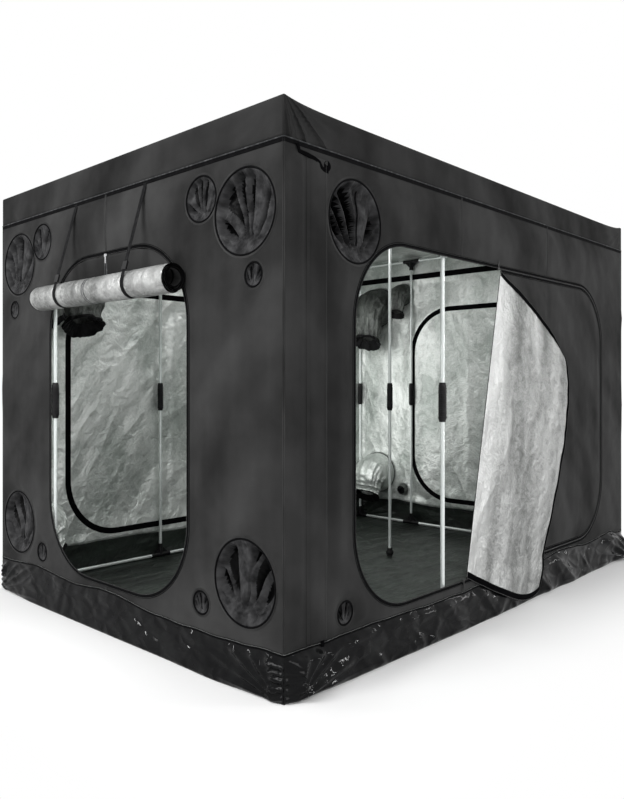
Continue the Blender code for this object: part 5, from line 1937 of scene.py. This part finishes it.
@dataclass
class Frame:
    """Poles, rails and their fittings."""

    tube: float = 0.011
    pole_low: float = 0.0406
    pole_high: float = 2.3469
    coupler: float = 0.0218
    coupler_end: float = 0.0165
    post_x: float = 1.7742
    post_y: float = 1.1742
    bay: float = 0.6
    rail_low: float = 0.0203
    rail_high: float = 2.3672
    half_long: float = 1.7539
    half_wide: float = 1.1539
    tee_low: float = 0.1003
    tee_high: float = 2.2872
    sleeve_long: float = 0.08

    def pole_profiles(self, low: float) -> list[tuple[Array, int]]:
        """Profiles of one pole: its two tubes, and between them the coupler with its ribs, four points each.

        Args:
            low: the lower tube's end.

        Returns:
            Profiles along the height with their finish's number.
        """
        high, edge, groove = self.pole_high, self.tube - 0.001, self.coupler - 0.0022
        lower = [(low, 0.0), (low, edge), (low + 0.001, self.tube), (1.072, self.tube)]
        upper = [(1.268, self.tube), (high - 0.001, self.tube), (high, edge), (high, 0.0)]
        coupler = [(1.07, self.tube), (1.07, self.coupler_end), (1.078, self.coupler_end + 0.001)]
        coupler += [(1.086, self.coupler - 0.0016)]
        for rib in range(17):
            at = rib * 0.009
            coupler += [(1.094 + at, self.coupler), (1.097 + at, self.coupler), (1.099 + at, groove)]
            coupler += [(1.102 + at, groove)]
        coupler += [(1.254, self.coupler - 0.0016), (1.262, self.coupler_end + 0.001)]
        coupler += [(1.27, self.coupler_end), (1.27, self.tube)]
        return [(np.array(lower), 0), (np.array(coupler), 1), (np.array(upper), 0)]

    def build_pole(self, node: str, x: float, y: float, low: float) -> None:
        """One pole at a place.

        Args:
            node: the CAD node.
            x: where it stands along the tent.
            y: where it stands across it.
            low: its lower end.
        """
        maker = Maker(f"{node}_tube")
        for profile, slot in self.pole_profiles(low):
            maker.grid(turned_grid(profile, np.array([x, y, 0.0]), np.array([x, y, 1.0])), slot=slot)
        self.finish(maker, node)

    def finish(self, maker: Maker, node: str) -> None:
        """Finish a piece of tubes and fittings that stands for a CAD node."""
        maker.finish((STEEL, PLASTIC), replaces=[node], record="white_steel", angle=32)

    def rod(self, maker: Maker, start: Array, end: Array) -> None:
        """A plain closed tube from start to end."""
        long = float(np.linalg.norm(end - start))
        tube = np.array([(0.0, 0.0), (0.0, self.tube), (long, self.tube), (long, 0.0)])
        maker.grid(turned_grid(tube, start, end))

    def sleeve(
        self, maker: Maker, a: Sequence[float], b: Sequence[float], radius: float = 0.016, flare: float = 0.0
    ) -> None:
        """A socket sleeve from a to b, closed at its ends, with a root that narrows and a bead at its mouth.

        Args:
            maker: collects the grids.
            a: the root.
            b: the mouth.
            radius: its radius at the mouth.
            flare: how much wider its root is.
        """
        start, end = np.array(a, float), np.array(b, float)
        long = float(np.linalg.norm(end - start))
        share = np.linspace(0, 1, 12)
        wide = radius - 0.0006 + flare * (1 - ease(share, 0.0, 0.75))
        body = np.stack([share * (long - 0.008), wide], axis=1)
        bead = [(long - 0.008, radius), (long - 0.001, radius), (long, radius - 0.001), (long, self.tube)]
        profile = np.concatenate([[(0.0, 0.0)], body, bead])
        maker.grid(turned_grid(profile, start, end), slot=1)

    def web(self, maker: Maker, a: Array, b: Array, c: Array, half: float = 0.005) -> None:
        """A flat three-cornered web between a tee's arms and its post: its corners moved along their normal.

        Args:
            maker: collects the grids.
            a: first corner.
            b: second corner.
            c: third corner.
            half: half its thickness.
        """
        normal = np.cross(b - a, c - a)
        normal = normal / np.linalg.norm(normal) * half
        ring, middle = np.stack([a, b, c, a]), (a + b + c) / 3
        rows = [np.broadcast_to(middle - normal, (4, 3)), ring - normal, ring + normal]
        maker.grid(np.stack([*rows, np.broadcast_to(middle + normal, (4, 3))]), slot=1, flip=True)

    def build_rail(self, node: str, long_way: bool, level: float, place: float) -> None:
        """One rail with a tee at each bay.

        Args:
            node: the CAD node.
            long_way: whether it lies along X.
            level: the axis's height.
            place: where it lies across.
        """
        half = self.half_long if long_way else self.half_wide

        def at(along: float, high: float = level, off: float = 0.0) -> Array:
            """A point of the rail."""
            return np.array([along, place + off, high] if long_way else [place + off, along, high])

        maker = Maker(f"{node}_tube")
        self.rod(maker, at(-half), at(half))
        up, post = (1, self.tee_low) if level == self.rail_low else (-1, self.tee_high)
        for bay in (-self.bay, self.bay):
            for way in (-1, 1):
                self.sleeve(maker, at(bay), at(bay + way * self.sleeve_long))
            self.sleeve(maker, at(bay), at(bay, post), 0.0178)
            self.web(maker, at(bay - 0.074), at(bay + 0.074), at(bay, post - up * 0.01))
            if up < 0 and long_way:
                self.sleeve(maker, at(bay), at(bay, level, -math.copysign(self.sleeve_long, place)))
        self.finish(maker, node)

    def build_bar(self, node: str, x: float) -> None:
        """One roof bar with the funnel that takes the centre pole.

        Args:
            node: the CAD node.
            x: where it lies along the tent.
        """
        maker, level = Maker(f"{node}_tube"), self.rail_high
        self.rod(maker, np.array([x, -self.half_wide, level]), np.array([x, self.half_wide, level]))
        for way in (-1, 1):
            self.sleeve(maker, (x, 0, level), (x, way * self.sleeve_long, level))
        self.sleeve(maker, (x, 0, level - 0.006), (x, 0, self.tee_high), 0.0178, 0.02)
        self.web(maker, *(np.array([x, y, z]) for y, z in ((-0.074, level), (0.074, level), (0.0, 2.295))))
        self.finish(maker, node)

    def build_foot(self, node: str, x: float) -> None:
        """The rubber foot of a centre pole: a flat sole, a ball and a neck round the tube.

        Args:
            node: the CAD node.
            x: where it stands along the tent.
        """
        turn = np.linspace(-1.0, 1.02, 16)
        ball = np.stack([0.031 + 0.0215 * np.sin(turn), 0.0062 + 0.0213 * np.cos(turn)], axis=1)
        sole = np.array([(0.0033, 0.0), (0.0033, 0.0185), (0.0045, 0.02), (0.0105, 0.02)])
        neck = np.array([(0.0515, 0.0192), (0.0620, 0.0186), (0.0633, 0.0175), (0.0633, self.tube)])
        maker = Maker(f"{node}_rubber")
        profile = np.concatenate([sole, ball, neck])
        maker.grid(turned_grid(profile, np.array([x, 0, 0.0]), np.array([x, 0, 1.0])))
        maker.finish((RUBBER,), replaces=[node], record="rubber")

    def build(self) -> None:
        """All tubes, fittings and feet; the corner fittings keep their CAD shape."""
        levels = ((self.rail_low, "bottom"), (self.rail_high, "top"))
        for side, y in (("front", -1), ("back", 1)):
            for end, x in (("left", -1), ("right", 1)):
                for name, at_x, at_y in (
                    (f"corner_pole_{side}_{end}", x * self.post_x, y * self.post_y),
                    (f"side_pole_{side}_{end}", x * self.bay, y * self.post_y),
                    (f"end_pole_{end}_{side}", x * self.post_x, y * self.bay),
                ):
                    self.build_pole(name, at_x, at_y, self.pole_low)
            for level, name in levels:
                self.build_rail(f"{name}_rail_{side}", True, level, y * self.post_y)
        for end, x in (("left", -1), ("right", 1)):
            self.build_pole(f"centre_pole_{end}", x * self.bay, 0.0, 0.0160)
            self.build_foot(f"pole_foot_{end}", x * self.bay)
            self.build_bar(f"roof_bar_{end}", x * self.bay)
            for level, name in levels:
                self.build_rail(f"{name}_rail_{end}", False, level, x * self.post_x)


@dataclass
class StormFlap:
    """The strip that covers the zip by the front left corner, with its tab below and lobe above."""

    left: float = -1.67
    right: float = -1.545
    low: float = 0.205
    high: float = 2.19
    off: float = 0.0008
    swell: float = 0.0062

    def build(self) -> None:
        """The strip, which rises from the wall near its left edge and wanders along its right one."""
        z = spread(self.low, self.high, 0.018)
        share = np.array([0.0, 0.03, 0.08, 0.14, 0.22, 0.35, 0.5, 0.65, 0.8, 0.9, 0.96, 1.0])
        high = np.repeat(z[None, :], len(share), axis=0)
        wander = (lattice(high * 5 + 20, high * 0 + 2.5, 1401) - 0.5) * 0.007 * ease(share, 0.5, 1.0)[:, None]
        across = self.left + (self.right - self.left) * share[:, None] + wander
        fold = creases(high * 2.6 + 20, across * 9 + 20, 1410, 3) ** 3
        out = self.off + self.swell * ease(share, 0.03, 0.20)[:, None]
        out = out + 0.004 * fold * ease(share, 0.2, 0.6)[:, None]
        maker = Maker("corner_storm_flap_cloth")
        maker.grid(Side.FRONT.point(across, out, high), flat=pair(across, high))
        more = {"thick": CLOTH, "record": "charcoal_cloth"}
        strip = maker.finish((CHARCOAL,), replaces=["corner_storm_flap"], **more)
        self.right - self.left
        self.build_trim()

    def build_trim(self) -> None:
        """Three rows of stitches, the tab with its neck below, and the lobe with its ragged edge above."""
        trim = Maker("corner_storm_flap_trim")
        for share, more in ((0.075, 0.0), (0.93, 0.0020), (0.115, 0.0)):
            x = self.left + (self.right - self.left) * share
            lift = self.off + self.swell * float(ease(np.array(share), 0.03, 0.20)) + more
            row = [(0.0008, lift), (0.0, lift + 0.0010), (-0.0008, lift)]
            trim.trim(Side.FRONT, line((x, self.low + 0.004), (x, self.high - 0.004)), row, 1)
        self.disc(trim, (-1.573, 0.0995), 0.0275, 0.0072)
        self.disc(trim, (-1.5455, 2.168), 0.0222, 0.0074)
        ragged = [(-1.728, 2.224), (-1.715, 2.195), (-1.668, 2.191), (-1.622, 2.184), (-1.593, 2.174)]
        ragged += [(-1.580, 2.156), (-1.562, 2.149), (-1.538, 2.148)]
        edge = [(0.011, 0.0055), (0.010, 0.0085), (-0.006, 0.0095), (-0.008, 0.0060)]
        trim.trim(Side.FRONT, np.array(ragged), edge)
        neck = [(0.010, 0.0060), (0.0095, 0.0074), (-0.0095, 0.0074), (-0.010, 0.0060)]
        trim.trim(Side.FRONT, line((-1.573, 0.12), (-1.573, 0.212), 0.01), neck)
        trim.finish((DARK_CLOTH, STITCH), record="charcoal_cloth")

    def disc(self, maker: Maker, middle: tuple[float, float], radius: float, out: float) -> None:
        """A round tab with a rolled rim, as rings from under its edge up over the rim to its middle.

        Args:
            maker: collects the rings.
            middle: its place on the front wall.
            radius: its radius.
            out: how far out it is.
        """
        turns = np.linspace(0, TURN, 41)[:, None]
        share = np.array([1.0, 1.0, 0.985, 0.93, 0.86, 0.8, 0.4, 0.0])[None, :]
        lift = np.array([-0.0012, 0.0, 0.0012, 0.0019, 0.0016, 0.0009, 0.0008, 0.0010])[None, :]
        across, high = middle[0] + radius * share * np.cos(turns), middle[1] + radius * share * np.sin(turns)
        maker.grid(Side.FRONT.point(across, out + lift, high))


@dataclass
class Hardware:
    """Small rigid parts that keep their CAD shape: sliders, buckles and corner fittings."""

    dark: str = "front_door_slider"

    def dress(self) -> None:
        """Metal on the sliders, blackened metal on the front door's, plastic on the rest."""
        for node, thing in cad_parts.items():
            if thing.hide_render:
                continue
            finish = METAL if "slider" in node else PLASTIC
            if node.startswith(self.dark):
                finish = DARK_METAL
            thing.data.materials.clear()
            thing.data.materials.append(finish.get())
            log.info("%s: keeps its CAD shape, %s", node, finish.name)


@dataclass
class Studio:
    """Camera, floor, world and lamps."""

    eye: tuple[float, float, float] = (-3.93, -3.2126, 1.2618)
    yaw: float = math.radians(44.925)
    lens: float = 33.656
    shift: tuple[float, float] = (0.06295, -0.0192)
    ambient: float = 0.55

    def build_camera(self) -> None:
        """The camera stands level at the photograph's place, with its off-centre frame."""
        data = bpy.data.cameras.new("camera")
        data.sensor_width, data.lens, data.sensor_fit = 36.0, self.lens, "AUTO"
        data.shift_x, data.shift_y = self.shift
        data.clip_start, data.clip_end = 0.05, 200.0
        thing = bpy.data.objects.new("camera", data)
        thing.location = self.eye
        thing.rotation_euler = (math.pi / 2, 0.0, -self.yaw)
        bpy.context.scene.collection.objects.link(thing)
        bpy.context.scene.camera = thing

    def build_floor(self) -> None:
        """A wide pale floor that takes the shadow near the tent and turns pure white further off."""
        maker = Maker("studio_floor")
        steps = np.linspace(-60, 60, 13)
        x, y = np.meshgrid(steps, steps, indexing="ij")
        maker.grid(np.stack([x, y, x * 0 - 0.0005], axis=-1))
        floor = maker.finish((), body="")
        s = Shader("pale studio floor")
        s.set(Base_Color=(0.88, 0.88, 0.88, 1.0), Roughness=0.9, Specular_IOR_Level=0.1)
        x_at, y_at, _ = s.parts(s.place())
        off_x, off_y = (x_at.size() - HALF_LONG).most(0.0), (y_at.size() - HALF_WIDE).most(0.0)
        away = (off_x * off_x + off_y * off_y) ** 0.5
        glow = s.node("ShaderNodeEmission", {}, {"Color": (1.0, 1.0, 1.0, 1.0), "Strength": 1.0})
        share = away.between(0.05, 0.9) * s.seen()
        mixed = s.node("ShaderNodeMixShader", {}, {0: share, 1: s.base.outputs[0], 2: glow.outputs[0]})
        s.feed(s.tree.nodes["Material Output"].inputs["Surface"], mixed.outputs[0])
        floor.data.materials.append(s.material)

    def build_world(self) -> None:
        """White where it is seen, also in gloss and through glass, and a soft grey light elsewhere."""
        world = bpy.data.worlds.new("studio")
        world.use_nodes = True
        bpy.context.scene.world = world
        nodes = Nodes(world.node_tree)
        back = nodes.tree.nodes["Background"].inputs
        nodes.feed(back["Color"], (1.0, 1.0, 1.0, 1.0))
        nodes.feed(back["Strength"], nodes.seen() * (1 - self.ambient) + self.ambient)

    def lamp(
        self, spot: Sequence[float], aim: Sequence[float], size: tuple[float, float], power: float
    ) -> bpy.types.Object:
        """One soft lamp.

        Args:
            spot: where it is.
            aim: where it points.
            size: its two sides.
            power: its power in watts.

        Returns:
            The lamp.
        """
        data = bpy.data.lights.new("soft lamp", "AREA")
        data.shape, data.energy = "RECTANGLE", power
        data.size, data.size_y = size
        thing = bpy.data.objects.new("soft lamp", data)
        way = Vector(aim) - Vector(spot)
        thing.location = spot
        thing.rotation_euler = way.to_track_quat("-Z", "Y").to_euler()
        bpy.context.scene.collection.objects.link(thing)
        return thing

    def build(self) -> None:
        """The whole studio: camera, floor, world and lamps."""
        bpy.context.scene.view_settings.view_transform = "Standard"
        self.build_camera()
        self.build_floor()
        self.build_world()
        self.lamp((-6.2, -0.2, 4.6), (-0.8, 0.5, 0.9), (3.0, 2.0), 290)
        self.lamp((-3.0, -6.1, 4.2), (-1.2, -1.2, 0.9), (3.0, 2.0), 130)
        self.lamp((4.5, 5.5, 4.2), (0, 0, 0.9), (3.0, 2.0), 200)
        self.lamp((-5.0, 3.0, 1.5), (-1.8, -0.4, 0.1), (0.05, 2.4), 40)
        self.lamp((1.6, -4.7, 1.5), (-0.8, -1.2, 0.1), (0.05, 2.4), 40)
        self.lamp((4.6, -3.7, 1.5), (0.6, -1.2, 0.1), (0.05, 2.4), 16)
        for x, y, power in ((-1.1, 0.0, 3.7), (0.0, 0.0, 9), (0.98, 0.2, 3.7)):
            self.lamp((x, y, 2.29), (x, y, 0.0), (0.7, 0.9), power).visible_camera = False
        self.lamp((1.1, 0.95, 1.25), (1.8, 1.05, 1.25), (0.6, 1.6), 5).visible_camera = False


FRONT = Wall(Side.FRONT, WIDE_DOOR, SIDE_PORTS, (-0.456, 0.557), flat_strip=(-1.67, -1.54))
BACK = Wall(Side.BACK, WIDE_DOOR, SIDE_PORTS, (-0.456, 0.557))
LEFT = Wall(Side.LEFT, END_DOOR, END_PORTS, (0.05,))
RIGHT = Wall(Side.RIGHT, END_DOOR, END_PORTS, (0.05,))


def main() -> None:
    """Build everything in order."""
    logging.basicConfig(level=logging.INFO, format="%(name)s %(message)s")
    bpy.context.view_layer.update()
    Studio().build()
    Frame().build()
    for wall in (FRONT, BACK, LEFT, RIGHT):
        wall.build_cloth()
        wall.build_seams()
        wall.build_zip()
        for number, port in enumerate(wall.ports):
            PortWork(wall.side, port, number).build()
    Cap().build()
    Tub().build()
    flap = Flap()
    flap.build()
    DoorPanel(FRONT, "front_door_kept_part", "front_door_panel", TENT, flap).build()
    DoorPanel(BACK, "back_door", "back_door", "back_door_body").build()
    DoorPanel(RIGHT, "right_door", "right_door", "right_door_body").build()
    roll = RolledDoor(END_DOOR)
    roll.build()
    for name, across in zip(("front", "back"), roll.straps):
        Strap(name, across, roll).build()
    StormFlap().build()
    Hardware().dress()


if __name__ == "__main__":
    main()
